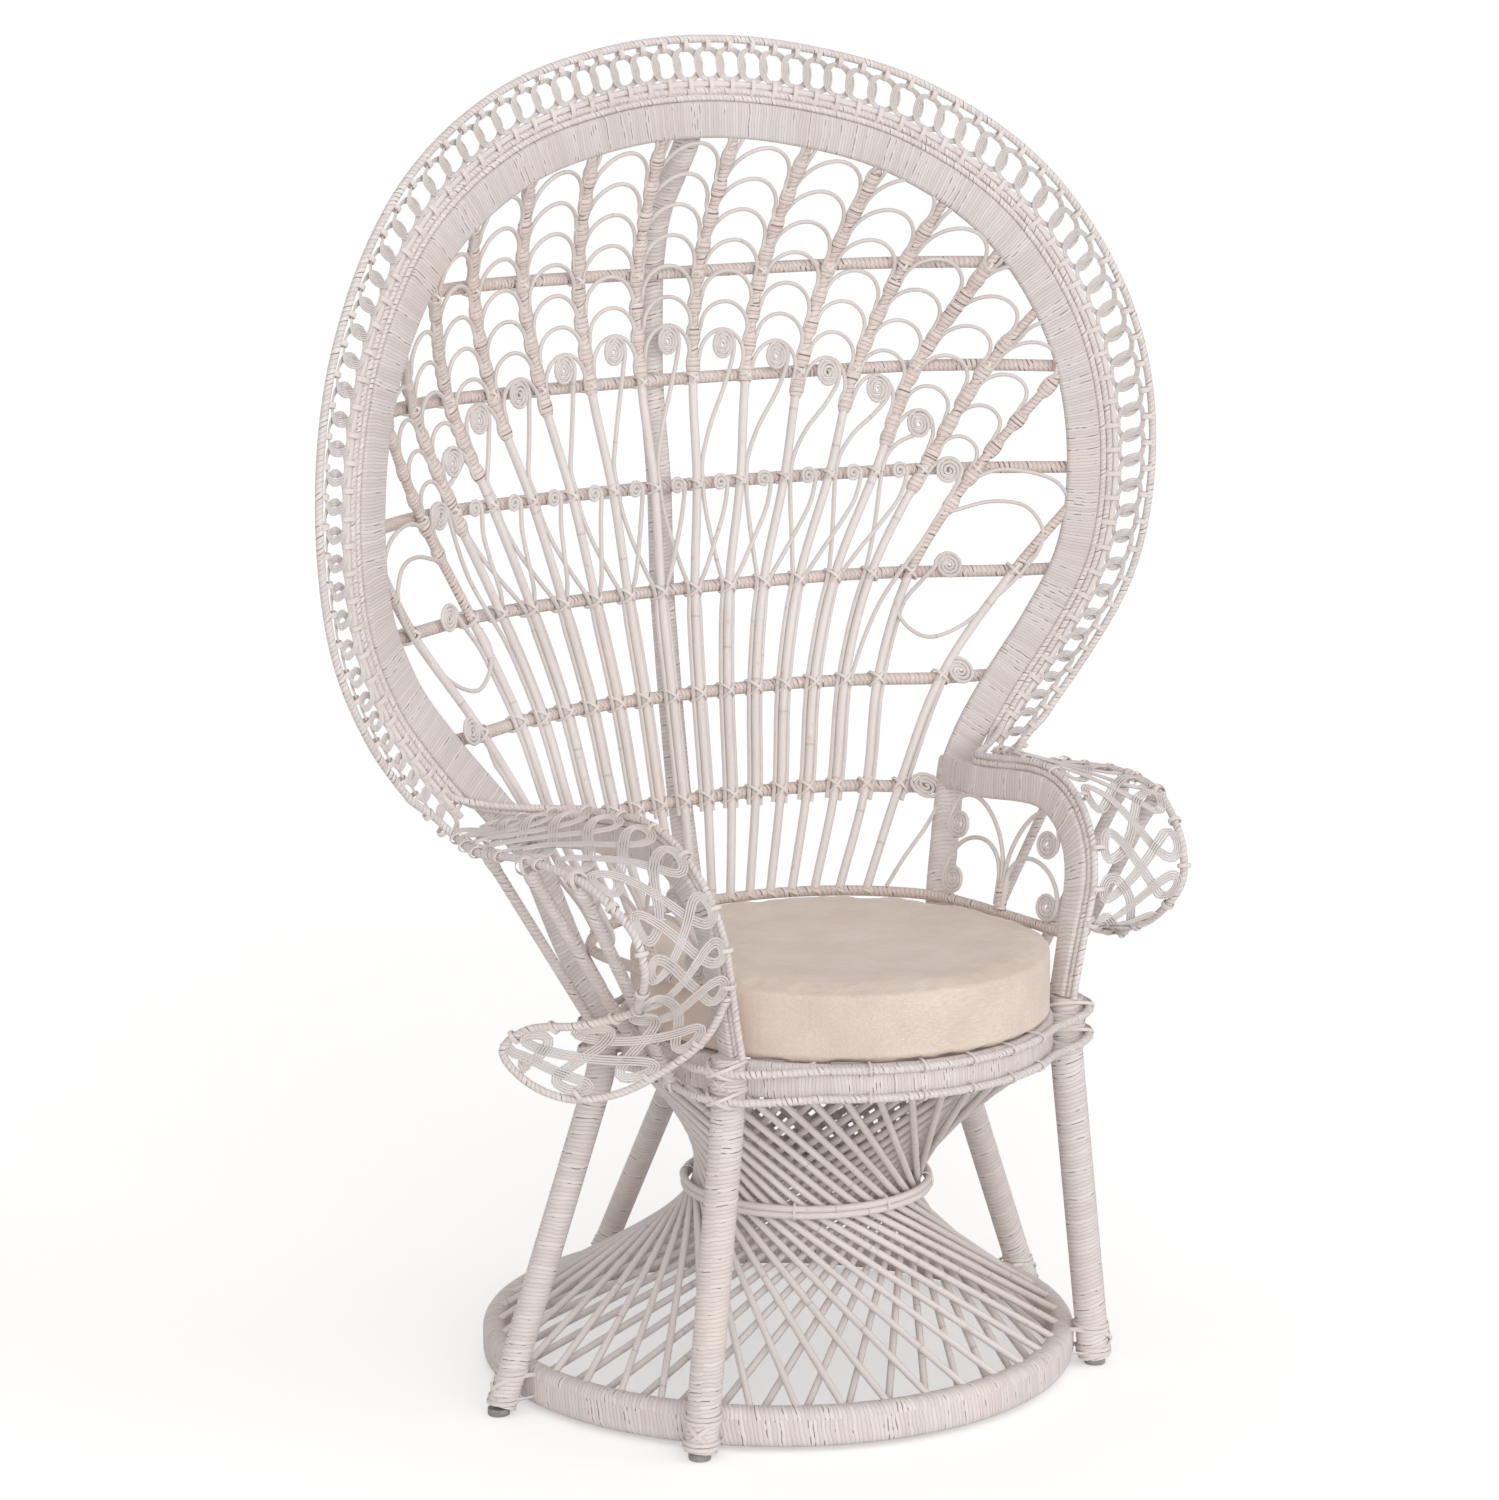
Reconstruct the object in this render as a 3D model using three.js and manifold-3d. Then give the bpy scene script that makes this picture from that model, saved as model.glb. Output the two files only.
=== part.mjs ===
// Peacock chair in white-washed rattan: an hourglass base of straight canes, a round seat with a box cushion,
// a tall hooped back of fanned ribs and scrolls, and arms that end in flared open fretwork.
// Millimetres, +Z up. The sitter faces -Y.

import * as THREE from 'three';
import { mergeVertices } from 'three/addons/utils/BufferGeometryUtils.js';
import Module from 'manifold-3d';

const wasm = await Module();
wasm.setup();
const { Manifold, Mesh: SolidMesh } = wasm;

// General values
const clearance = 0.3;
const weldDistance = 0.001;
const slopeStep = 2;

// Base: the floor ring, the waist and the canes of the hourglass
const baseRingRadius = 330;
const baseRingThickness = 26;
const baseRingHeight = 43;
const baseRingLift = 5;
const waistHeight = 217;
const waistForward = 53;
const waistCaneRadius = 4;
const waistCaneCircle = 135;
const strandRadius = 4;
const strandCount = 40;
const strandSpacing = 3.6;
const waistEase = 0.5;
const lowerTwistTurns = 67 / 360;
const upperTwistTurns = 61 / 360;

// Seat: the band that carries the canes, its two rim canes, the slats and the cushion
const seatForward = 105;
const seatBandRadius = 236;
const seatBandThickness = 14;
const seatBandHeight = 39;
const seatBandTop = 418;
const rimCaneRadius = 4.5;
const slatCount = 7;
const slatWidth = 30;
const slatThickness = 8;
const battenOffset = 90;
const cushionInset = 13;
const cushionRadius = seatBandRadius - cushionInset;
const cushionHeight = 72;
const cushionCrown = 7;
const cushionPull = 5;
const cushionEdge = 7;
// The crown's rise over the cushion: shares of its radius and of its crown
const crownShares = [[0.7, 0.6], [0.4, 0.9]];

// Legs and their glides
const frontLegRadius = 18;
const rearLegRadius = 16;
const postRadius = 14;
const frontLegFootTurns = -41 / 360;
const frontLegSeatTurns = -28 / 360;
const rearLegFootTurns = 1 / 360;
const rearLegSeatTurns = 26 / 360;
const backPostTurns = 90 / 360;
const legStraight = 10;
const rimBulgeTurns = 26 / 360;
const glideRadius = 12;
const glideHeight = 8;

// Back: the hoop, its cross bars and the fan of ribs
const hoopTop = 1364;
const hoopFoot = 606;
const hoopHalfWidth = 472;
const hoopBandWidth = 40;
const hoopBandThickness = 10;
const hoopBack = 150;
const hoopWrap = 90;
const hoopFootForward = 55;
const hoopFootStart = 800;
const dishDepth = 65;
const dishRun = 175;
const barRadius = 7;
const barCount = 6;
const firstBarHeight = hoopFoot;
const barSpacing = 117;
const seatHoopRadius = 6;
const seatHoopOverCushion = 1;
const seatHoopHeight = seatBandTop + cushionHeight + seatHoopOverCushion;
const seatHoopBack = 146;
const seatHoopHalfWidth = 237;
const seatHoopReach = 361;
const ribRadius = 5;
const ribsPerSide = 8;
const ribPitchAtTop = 98;
const outerRibFlare = 62;

// Border: two edging canes, the flat rail, the chain and the outer rim
const edgingRadius = 4.4;
const railWidth = 8;
const chainStrandRadius = 2.4;
const chainWidth = 35;
const chainRings = 88;
const rimRadius = 4.5;
const chainTaperShare = 0.6;
// How far the edging canes step forward as they leave the hoop, in hoop thicknesses and in cane steps
const edgingStepForward = 0.6;
const edgingStepSpread = 2.5;
const edgingStepAside = 1.5;

// Reeds and their scrolls
const reedRadius = 2.8;
const scrollRadius = 13;
const curlTurns = 1.1;
const curlStartTurns = 0.42;
const curlSteps = 9;
const curlTightening = 0.5;

// Arms
const armTop = 632;
const armFront = 216;
const armCornerRadius = 95;
const armHalfWidth = 222;
const armWidthHeight = 436;
const armLean = 0.19;
const armRear = 30;
const armBandWidth = 26;
const armBandThickness = 12;
const armBandFoot = 426;
const flareReach = 128;
const strutRadius = 5;
const ribbonWidth = 9;
const ribbonThickness = 3.5;
const ribbonCrossings = 9;
const bundleRadius = 6;
const bundleForward = 120;
const bundleHeight = 48;

// How round each kind of piece is modelled
const ringFacets = 44;
const smallRingFacets = 36;
const bandSteps = 48;
const bandStepsBelowBorder = 3;
const rimSteps = 52;
const earSteps = 30;
const caneSides = 4;
const reedSides = 3;
const barSides = 6;
const legSides = 8;

// Outline of one half of the hoop, from its top to its foot: shares of half width and of height
const hoopOutlineShares = [
  [0, 1], [0.26, 0.985], [0.53, 0.938], [0.775, 0.838], [0.935, 0.69], [1, 0.53],
  [0.985, 0.35], [0.9, 0.235], [0.79, 0.145], [0.69, 0.07], [0.604, 0],
];

// Half of the seat hoop, from its back to its front end: shares of half width and of reach
const seatHoopShares = [
  [0, 0], [0.32, 0.02], [0.6, 0.09], [0.82, 0.2], [0.97, 0.34], [1, 0.48], [0.995, 0.75], [0.98, 1],
];

// Rib spacing and dish depth, from the seat hoop up through the bars to the top of the hoop
const ribPitchShares = [0.25, 0.33, 0.38, 0.465, 0.585, 0.71, 0.835, 1];
const dishShares = [0, 0.16, 0.44, 0.68, 0.74, 1, 1, 1];

const up = new THREE.Vector3(0, 0, 1);
const fullTurn = 2 * Math.PI;
// The sitter's own sides, the two ways a cane can twist, and the two faces of the back
const leftSide = 1;
const rightSide = -1;
const clockwise = -1;
const anticlockwise = 1;
const front = -1;
const back = 1;
const chair = new THREE.Group();

function point(x, y, z) {
  return new THREE.Vector3(x, y, z);
}

function finish(name, colour, roughness) {
  const material = new THREE.MeshStandardMaterial({ color: colour, roughness, metalness: 0 });
  material.name = name;
  return material;
}

const woundCane = finish('wound_cane', '#d8cdc8', 0.7);
const peeledCane = finish('peeled_cane', '#e2d8d2', 0.62);
const reedCane = finish('reed_cane', '#d6d1cd', 0.66);
const cotton = finish('cotton', '#dcccbd', 0.95);
const greyPlastic = finish('grey_plastic', '#8d8b8a', 0.5);

// Interpolates a table over the heights of the seat hoop, the bars and the hoop's top
const rowHeights = [seatHoopHeight + seatHoopRadius];
for (let bar = 0; bar < barCount; bar += 1) {
  rowHeights.push(firstBarHeight + bar * barSpacing);
}
rowHeights.push(Math.max(hoopTop, firstBarHeight + barCount * barSpacing));

function overRows(shares, z) {
  const clamped = THREE.MathUtils.clamp(z, rowHeights[0], rowHeights[rowHeights.length - 1]);
  let row = 0;
  while (row < rowHeights.length - 2 && clamped > rowHeights[row + 1]) {
    row += 1;
  }
  const along = (clamped - rowHeights[row]) / (rowHeights[row + 1] - rowHeights[row]);
  return THREE.MathUtils.lerp(shares[row], shares[row + 1], along);
}

// Solids

// A regular section with one flat facing its own +y
function polygon(radius, sides) {
  const corner = cornerRadius(radius, sides);
  const corners = [];
  for (let side = 0; side < sides; side += 1) {
    const angle = fullTurn * (0.25 + (side + 0.5) / sides);
    corners.push(new THREE.Vector2(corner * Math.cos(angle), corner * Math.sin(angle)));
  }
  return corners;
}

// A polygon with the same area as the round section it stands for
function cornerRadius(radius, sides) {
  return radius * Math.sqrt(fullTurn / (sides * Math.sin(fullTurn / sides)));
}

function flatRadius(radius, sides) {
  return cornerRadius(radius, sides) * Math.cos(Math.PI / sides);
}

function rectangle(width, height) {
  return [[-1, -1], [1, -1], [1, 1], [-1, 1]].map(
    ([across, along]) => new THREE.Vector2(across * width / 2, along * height / 2),
  );
}

function toSolid(geometry) {
  const bare = geometry.clone();
  bare.deleteAttribute('normal');
  bare.deleteAttribute('uv');
  const merged = mergeVertices(bare, weldDistance);
  const mesh = new SolidMesh({
    numProp: 3,
    vertProperties: Float32Array.from(merged.attributes.position.array),
    triVerts: Uint32Array.from(merged.index.array),
  });
  return new Manifold(mesh);
}

// Turns an inside-out closed surface the right way round
function outwards(geometry) {
  const solid = toSolid(geometry);
  if (solid.volume() > 0) {
    return solid;
  }
  geometry.setIndex([...geometry.index.array].reverse());
  return toSolid(geometry);
}

function toGeometry(solid) {
  const mesh = solid.getMesh();
  const geometry = new THREE.BufferGeometry();
  geometry.setAttribute('position', new THREE.BufferAttribute(Float32Array.from(mesh.vertProperties), 3));
  geometry.setIndex(new THREE.BufferAttribute(Uint32Array.from(mesh.triVerts), 1));
  geometry.computeVertexNormals();
  return geometry;
}

// A loft through sections that share one outline; a closed loft joins its last section to its first
function loft(sections, closed) {
  const corners = sections[0].length;
  const positions = sections.flat().flatMap((corner) => corner.toArray());
  const index = [];
  const spans = closed ? sections.length : sections.length - 1;
  for (let span = 0; span < spans; span += 1) {
    const here = span * corners;
    const there = ((span + 1) % sections.length) * corners;
    for (let corner = 0; corner < corners; corner += 1) {
      const next = (corner + 1) % corners;
      index.push(here + corner, there + next, there + corner, here + corner, here + next, there + next);
    }
  }
  if (!closed) {
    const last = (sections.length - 1) * corners;
    for (let corner = 1; corner < corners - 1; corner += 1) {
      index.push(0, corner + 1, corner, last, last + corner, last + corner + 1);
    }
  }
  const geometry = new THREE.BufferGeometry();
  geometry.setAttribute('position', new THREE.Float32BufferAttribute(positions, 3));
  geometry.setIndex(index);
  return outwards(geometry);
}

// A flat band: each station has a centre, a direction across the width and one through the thickness
function band(stations, outline) {
  return loft(stations.map(({ centre, across, through }) => outline.map(
    (corner) => centre.clone().addScaledVector(across, corner.x).addScaledVector(through, corner.y),
  )), false);
}

function joined(solids) {
  return Manifold.union(solids);
}

// Cuts a piece where its neighbours take the room, and keeps the main part
function fitted(solid, neighbours) {
  const cut = neighbours.reduce((rest, neighbour) => rest.subtract(neighbour), solid);
  const parts = cut.decompose();
  return parts.reduce((best, part) => (part.volume() > best.volume() ? part : best), parts[0]);
}

function add(name, solid, material) {
  const mesh = new THREE.Mesh(toGeometry(solid), material);
  mesh.name = name;
  chair.add(mesh);
  return mesh;
}

function block(low, high) {
  const size = high.clone().sub(low);
  const geometry = new THREE.BoxGeometry(size.x, size.y, size.z);
  geometry.translate((low.x + high.x) / 2, (low.y + high.y) / 2, (low.z + high.z) / 2);
  return toSolid(geometry);
}

function ringSolid(profile, centreY, facets) {
  const geometry = new THREE.LatheGeometry([...profile, profile[0]], facets);
  geometry.rotateX(Math.PI / 2);
  geometry.translate(0, centreY, 0);
  return outwards(geometry);
}

// A point on a circle round the seat or the base
function onCircle(centreY, radius, turns, z) {
  const angle = fullTurn * turns;
  return point(radius * Math.cos(angle), centreY + radius * Math.sin(angle), z);
}

const seatY = -seatForward;
const waistY = -waistForward;

// Back surface: the hoop lies on a bowed sheet, and the lattice dishes back inside it

const hoopHeight = hoopTop - hoopFoot;
const hoopFootHalf = hoopHalfWidth * hoopOutlineShares[hoopOutlineShares.length - 1][0];

function hoopDepth(x, z) {
  const low = Math.max(0, (hoopFootStart - z) / (hoopFootStart - hoopFoot));
  const side = Math.min(1, (x / hoopFootHalf) ** 4);
  return hoopBack - hoopWrap * (x / hoopHalfWidth) ** 2 - hoopFootForward * Math.min(1, low) ** 2 * side;
}

const halfOutline = hoopOutlineShares.map(
  ([across, height]) => [across * hoopHalfWidth, hoopFoot + height * hoopHeight],
);
const fullOutline = [
  ...halfOutline.slice(1).reverse().map(([x, z]) => [-x, z]),
  ...halfOutline,
];
const outlineCurve = new THREE.CatmullRomCurve3(
  fullOutline.map(([x, z]) => point(x, 0, z)), false, 'centripetal',
);
const outlineSamples = outlineCurve.getSpacedPoints(240);

function distanceToHoop(x, z) {
  let nearest = Infinity;
  for (const sample of outlineSamples) {
    nearest = Math.min(nearest, Math.hypot(sample.x - x, sample.z - z));
  }
  return nearest;
}

// The seat hoop is a horseshoe at the height of the cushion's top, open to the front
const halfSeatHoop = seatHoopShares.map(
  ([across, forward]) => [across * seatHoopHalfWidth, seatHoopBack - forward * seatHoopReach],
);
const seatHoopCurve = new THREE.CatmullRomCurve3([
  ...halfSeatHoop.slice(1).reverse().map(([x, y]) => point(-x, y, seatHoopHeight)),
  ...halfSeatHoop.map(([x, y]) => point(x, y, seatHoopHeight)),
], false, 'centripetal');
const seatHoopSamples = seatHoopCurve.getSpacedPoints(200);

function seatHoopY(x) {
  const rear = seatHoopSamples.filter((sample) => sample.y > 0);
  return rear.reduce((best, sample) => (Math.abs(sample.x - x) < Math.abs(best.x - x) ? sample : best)).y;
}

function latticeDepth(x, z) {
  const inward = Math.max(0, distanceToHoop(x, z) - hoopBandWidth / 2);
  const fall = 1 - (1 - Math.min(1, inward / dishRun)) ** 2;
  const dished = hoopDepth(x, Math.max(z, firstBarHeight)) + dishDepth * overRows(dishShares, z) * fall;
  if (z >= firstBarHeight) {
    return dished;
  }
  const rise = (z - rowHeights[0]) / (firstBarHeight - rowHeights[0]);
  const atBar = latticeDepth(x, firstBarHeight);
  return THREE.MathUtils.lerp(seatHoopY(x), atBar, THREE.MathUtils.clamp(rise, 0, 1));
}

function onLattice(x, z, forward = 0) {
  return point(x, latticeDepth(x, z) - forward, z);
}

function latticeNormal(x, z) {
  const across = latticeDepth(x + slopeStep, z) - latticeDepth(x - slopeStep, z);
  const upwards = latticeDepth(x, z + slopeStep) - latticeDepth(x, z - slopeStep);
  return point(-across / (2 * slopeStep), 1, -upwards / (2 * slopeStep)).normalize();
}

const towardsBack = ({ x, z }) => latticeNormal(x, z);

// Where the outward direction and the surface normal point along the hoop
function hoopStation(share, outward = 0) {
  const here = outlineCurve.getPointAt(share);
  const step = 0.002;
  const before = outlineCurve.getPointAt(Math.max(0, share - step));
  const after = outlineCurve.getPointAt(Math.min(1, share + step));
  const onSheet = (sample) => point(sample.x, hoopDepth(sample.x, sample.z), sample.z);
  const along = onSheet(after).sub(onSheet(before)).normalize();
  const slope = hoopDepth(here.x + slopeStep, here.z) - hoopDepth(here.x - slopeStep, here.z);
  const through = point(-slope / (2 * slopeStep), 1, 0).normalize();
  const across = along.clone().cross(through).normalize();
  return { centre: onSheet(here).addScaledVector(across, outward), across, through };
}

// Every piece of the border has its stations at the same steps along the hoop
function hoopStations(from, to, outward) {
  const stations = [];
  for (let step = from; step <= to; step += 1) {
    stations.push(hoopStation(step / bandSteps, outward(step)));
  }
  return stations;
}

// A cane or band through given places, turned so that its flats face the given way
function stationsThrough(places, facing) {
  const last = places.length - 1;
  let previous = null;
  return places.map((centre, place) => {
    const before = places[Math.max(0, place - 1)];
    const after = places[Math.min(last, place + 1)];
    const along = after.clone().sub(before).normalize();
    const across = along.clone().cross(facing(centre, previous)).normalize();
    previous = across.clone().cross(along);
    return { centre, across, through: previous };
  });
}

// Both sides of a piece that crosses the middle, from its stations on the right
function bothSides(stations) {
  const flipped = stations.slice(1).map(({ centre, across, through }) => (
    { centre: mirrored(centre), across: mirrored(across), through: mirrored(through) }
  ));
  return [...flipped.reverse(), ...stations];
}

function onSide(stations, side) {
  if (side === leftSide) {
    return stations;
  }
  return stations.map(({ centre, across, through }) => (
    { centre: mirrored(centre), across: mirrored(across), through: mirrored(through) }
  ));
}

function facedCane(places, radius, sides, facing) {
  return band(stationsThrough(places, facing), polygon(radius, sides));
}

function smooth(places, steps) {
  return new THREE.CatmullRomCurve3(places, false, 'centripetal').getSpacedPoints(steps);
}

// Legs and posts: each stands outside the floor ring and runs straight up past the seat band

const seatBandBottom = seatBandTop - seatBandHeight;
const floorRingTop = baseRingLift + baseRingHeight;

function legRoute(radius, footTurns, seatTurns, above) {
  const corner = cornerRadius(radius, legSides);
  const seat = onCircle(seatY, seatBandRadius + clearance + corner, seatTurns, seatBandBottom - legStraight);
  const footDirection = onCircle(0, 1, footTurns, 0);
  const share = floorRingTop / seat.z;
  const reach = (baseRingRadius + clearance + corner - seat.dot(footDirection) * share) / (1 - share);
  const foot = footDirection.clone().multiplyScalar(reach);
  const below = foot.clone().addScaledVector(seat.clone().sub(foot), -glideHeight / seat.z);
  const top = seat.clone().setZ(seatBandTop + legStraight);
  return { radius, foot, seatTurns, places: [below, seat, ...above(seat, top)] };
}

function mirrored(place) {
  return point(-place.x, place.y, place.z);
}

function legSolid(route, side, growth) {
  const places = side === leftSide ? route.places : route.places.map(mirrored);
  return facedCane(places, route.radius + growth, legSides, (centre) => point(centre.x, centre.y - seatY, 0));
}

const hoopFootPlace = point(hoopFootHalf, hoopDepth(hoopFootHalf, hoopFoot), hoopFoot);
const barFlat = flatRadius(barRadius, barSides);
const barDepth = Math.max(flatRadius(ribRadius, caneSides), hoopBandThickness / 2) + clearance + barFlat;
const postDepth = barDepth + barFlat + 2 * clearance + flatRadius(postRadius, legSides);

function besideSeatHoop(place, radius) {
  const outwardsFromSeat = point(place.x, place.y - seatY, 0).normalize();
  const reach = cornerRadius(seatHoopRadius, barSides) + clearance + cornerRadius(radius, legSides);
  return place.clone().addScaledVector(outwardsFromSeat, reach);
}

const frontLeg = legRoute(frontLegRadius, frontLegFootTurns, frontLegSeatTurns, (seat) => [
  seat.clone().setZ(armBandFoot + frontLegRadius),
]);
const [rearShare, rearForwardShare] = seatHoopShares[4];
const seatHoopSide = point(
  rearShare * seatHoopHalfWidth, seatHoopBack - rearForwardShare * seatHoopReach, seatHoopHeight,
);
const rearLeg = legRoute(rearLegRadius, rearLegFootTurns, rearLegSeatTurns, (seat, top) => [
  top,
  besideSeatHoop(seatHoopSide, rearLegRadius),
  hoopFootPlace,
  hoopFootPlace.clone().add(point(0, 0, rearLegRadius)),
]);
const backPost = legRoute(postRadius, backPostTurns, backPostTurns, (seat, top) => {
  const places = [top, besideSeatHoop(point(0, seatHoopBack, seatHoopHeight), postRadius)];
  for (let bar = 0; bar < barCount; bar += 1) {
    const height = firstBarHeight + bar * barSpacing;
    places.push(onLattice(0, height).addScaledVector(latticeNormal(0, height), postDepth));
  }
  const aboveBars = firstBarHeight + (barCount - 0.5) * barSpacing;
  places.push(onLattice(0, aboveBars).addScaledVector(latticeNormal(0, aboveBars), postDepth));
  const hoopRear = hoopBack + hoopBandThickness / 2 + clearance + cornerRadius(postRadius, legSides);
  places.push(point(0, hoopRear, hoopTop - hoopBandWidth / 2), point(0, hoopRear, hoopTop));
  return places;
});

const floorSpan = 2 * (baseRingRadius + frontLegRadius);
const underLegs = block(
  point(-floorSpan, -floorSpan, -floorSpan),
  point(floorSpan, floorSpan, glideHeight + clearance),
);
const aboveRearLegs = block(
  point(-floorSpan, -floorSpan, hoopFoot - clearance),
  point(floorSpan, floorSpan, hoopTop),
);
const aboveFrontLegs = block(
  point(-floorSpan, -floorSpan, armBandFoot - clearance),
  point(floorSpan, floorSpan, hoopTop),
);
const belowArms = block(
  point(-floorSpan, -floorSpan, 0),
  point(floorSpan, floorSpan, armBandFoot),
);

function addLeg(name, route, side, neighbours) {
  const solid = fitted(legSolid(route, side, 0), [underLegs, ...neighbours]);
  add(name, solid, woundCane);
  const glide = new THREE.CylinderGeometry(glideRadius, glideRadius, glideHeight, legSides);
  glide.rotateX(Math.PI / 2);
  glide.translate(side * route.foot.x, route.foot.y, glideHeight / 2);
  add(`${name}_glide`, toSolid(glide), greyPlastic);
}

// Base: the floor ring holds the outer canes, and the seat band holds the inner ones

function ringProfile(inner, outer, low, high, bevel) {
  return [
    [inner, low], [outer - bevel, low], [outer, low + bevel],
    [outer, high - bevel], [outer - bevel, high], [inner + bevel, high], [inner, high - bevel],
  ].map(([x, z]) => new THREE.Vector2(x, z));
}

function strandFamily(hand, foot, waistRadius, head) {
  const strands = [];
  for (let count = 0; count < strandCount; count += 1) {
    const turns = count / strandCount;
    const places = [
      onCircle(0, foot.x, turns - hand * lowerTwistTurns, foot.y),
      onCircle(waistY, waistRadius, turns, waistHeight),
      onCircle(seatY, head.x, turns + hand * upperTwistTurns, head.y),
    ];
    const outwards = (centre) => point(centre.x, centre.y - waistY, 0);
    strands.push(facedCane(places, strandRadius, reedSides, outwards));
  }
  return strands;
}

function addBase() {
  const inner = baseRingRadius - baseRingThickness;
  const bevel = baseRingThickness / 4;
  const ringAt = (inside, high) => ringSolid(
    ringProfile(inside, baseRingRadius, baseRingLift, high, bevel), 0, ringFacets,
  );
  const ring = ringAt(inner, floorRingTop);
  const ringRoom = ringAt(inner - clearance, floorRingTop + clearance);
  const bandInner = seatBandRadius - seatBandThickness;
  const bandProfile = (growth) => [
    [bandInner - growth, seatBandBottom - growth], [seatBandRadius + growth, seatBandBottom - growth],
    [seatBandRadius + growth, seatBandTop + growth], [bandInner - growth, seatBandTop + growth],
  ].map(([x, z]) => new THREE.Vector2(x, z));
  const seatBand = ringSolid(bandProfile(0), seatY, ringFacets);
  const bandRoom = ringSolid(bandProfile(clearance), seatY, ringFacets);

  const flat = flatRadius(strandRadius, reedSides);
  const waistFlat = flatRadius(waistCaneRadius, caneSides);
  const waistInner = waistCaneCircle * Math.cos(Math.PI / smallRingFacets) - waistFlat - clearance;
  const lowerRise = waistHeight - floorRingTop;
  const sweep = Math.sin(fullTurn * lowerTwistTurns) * inner * 4 * waistCaneRadius / lowerRise;
  const corner = cornerRadius(strandRadius, reedSides);
  const outerWaist = Math.sqrt(waistInner ** 2 - (sweep + corner) ** 2) - flat - waistEase;
  const innerWaist = outerWaist - corner - flat - strandSpacing;
  const outerFoot = new THREE.Vector2(inner + baseRingThickness / 3, floorRingTop - strandRadius);
  const outerHead = new THREE.Vector2(seatBandRadius - seatBandThickness / 2, seatBandBottom);
  const innerFoot = new THREE.Vector2(inner - strandRadius, baseRingLift + baseRingHeight / 2);
  const innerHead = new THREE.Vector2(bandInner - strandRadius / 2, seatBandBottom + seatBandHeight / 3);

  const outer = strandFamily(clockwise, outerFoot, outerWaist, outerHead);
  const inside = strandFamily(anticlockwise, innerFoot, innerWaist, innerHead);
  add('base_ring', joined([ring, ...outer.map((strand) => fitted(strand, [bandRoom]))]), woundCane);
  add('seat_band', joined([seatBand, ...inside.map((strand) => fitted(strand, [ringRoom]))]), woundCane);

  const waistOffset = waistFlat + clearance / 2;
  [['waist_cane_lower', -waistOffset], ['waist_cane_upper', waistOffset]].forEach(([name, offset]) => {
    const profile = polygon(waistCaneRadius, caneSides).map(
      (corner) => new THREE.Vector2(waistCaneCircle + corner.x, waistHeight + offset + corner.y),
    );
    add(name, ringSolid(profile, waistY, smallRingFacets), peeledCane);
  });
  return bandRoom;
}

// Seat: the rim canes bulge outwards round every leg

const legPlaces = [
  [frontLeg, leftSide], [frontLeg, rightSide], [rearLeg, leftSide], [rearLeg, rightSide],
  [backPost, leftSide],
].map(([route, side]) => {
  const seat = route.places[1];
  const place = side === leftSide ? seat : mirrored(seat);
  return { turns: Math.atan2(place.y - seatY, place.x) / fullTurn, route };
});
const rimFlat = flatRadius(rimCaneRadius, caneSides);
const rimCircle = (seatBandRadius + clearance) / Math.cos(Math.PI / rimSteps) + rimFlat;

function rimReach(turns) {
  return legPlaces.reduce((reach, { turns: legTurns, route }) => {
    const away = Math.abs(((turns - legTurns + 1.5) % 1) - 0.5) / rimBulgeTurns;
    const past = seatBandRadius + 2 * (clearance + cornerRadius(route.radius, legSides)) + rimFlat;
    const bulge = away < 1 ? Math.cos(away * Math.PI / 2) ** 2 : 0;
    return Math.max(reach, THREE.MathUtils.lerp(rimCircle, past + clearance, bulge));
  }, rimCircle);
}

function rimCane(height, growth) {
  const outline = polygon(rimCaneRadius + growth, caneSides);
  const sections = [];
  for (let step = 0; step < rimSteps; step += 1) {
    const turns = step / rimSteps;
    const reach = rimReach(turns);
    sections.push(outline.map((corner) => onCircle(seatY, reach + corner.x, turns, height + corner.y)));
  }
  return loft(sections, true);
}

const rimHeights = [seatBandBottom + rimCaneRadius, seatBandTop - rimCaneRadius];

function addSeat(bandRoom) {
  add('seat_rim_lower', rimCane(rimHeights[0], 0), woundCane);
  add('seat_rim_upper', rimCane(rimHeights[1], 0), woundCane);

  const inner = seatBandRadius - seatBandThickness;
  const pitch = 2 * inner / slatCount;
  const slats = [];
  for (let slat = 0; slat < slatCount; slat += 1) {
    const middle = seatY - inner + pitch * (slat + 0.5);
    slats.push(block(
      point(-inner, middle - slatWidth / 2, seatBandTop - slatThickness),
      point(inner, middle + slatWidth / 2, seatBandTop),
    ));
  }
  const batten = slatWidth / 2;
  const lowest = seatBandTop - 2 * slatThickness;
  [leftSide, rightSide].forEach((side) => slats.push(block(
    point(side * battenOffset - batten, seatY - inner, lowest),
    point(side * battenOffset + batten, seatY + inner, seatBandTop - slatThickness / 2),
  )));
  const reach = inner - clearance;
  const round = new THREE.CylinderGeometry(reach, reach, 4 * slatThickness, ringFacets);
  round.rotateX(Math.PI / 2);
  round.translate(0, seatY, seatBandTop);
  const facetInset = toSolid(round);
  add('seat_slats', joined(slats).intersect(facetInset), peeledCane);
}

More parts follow.
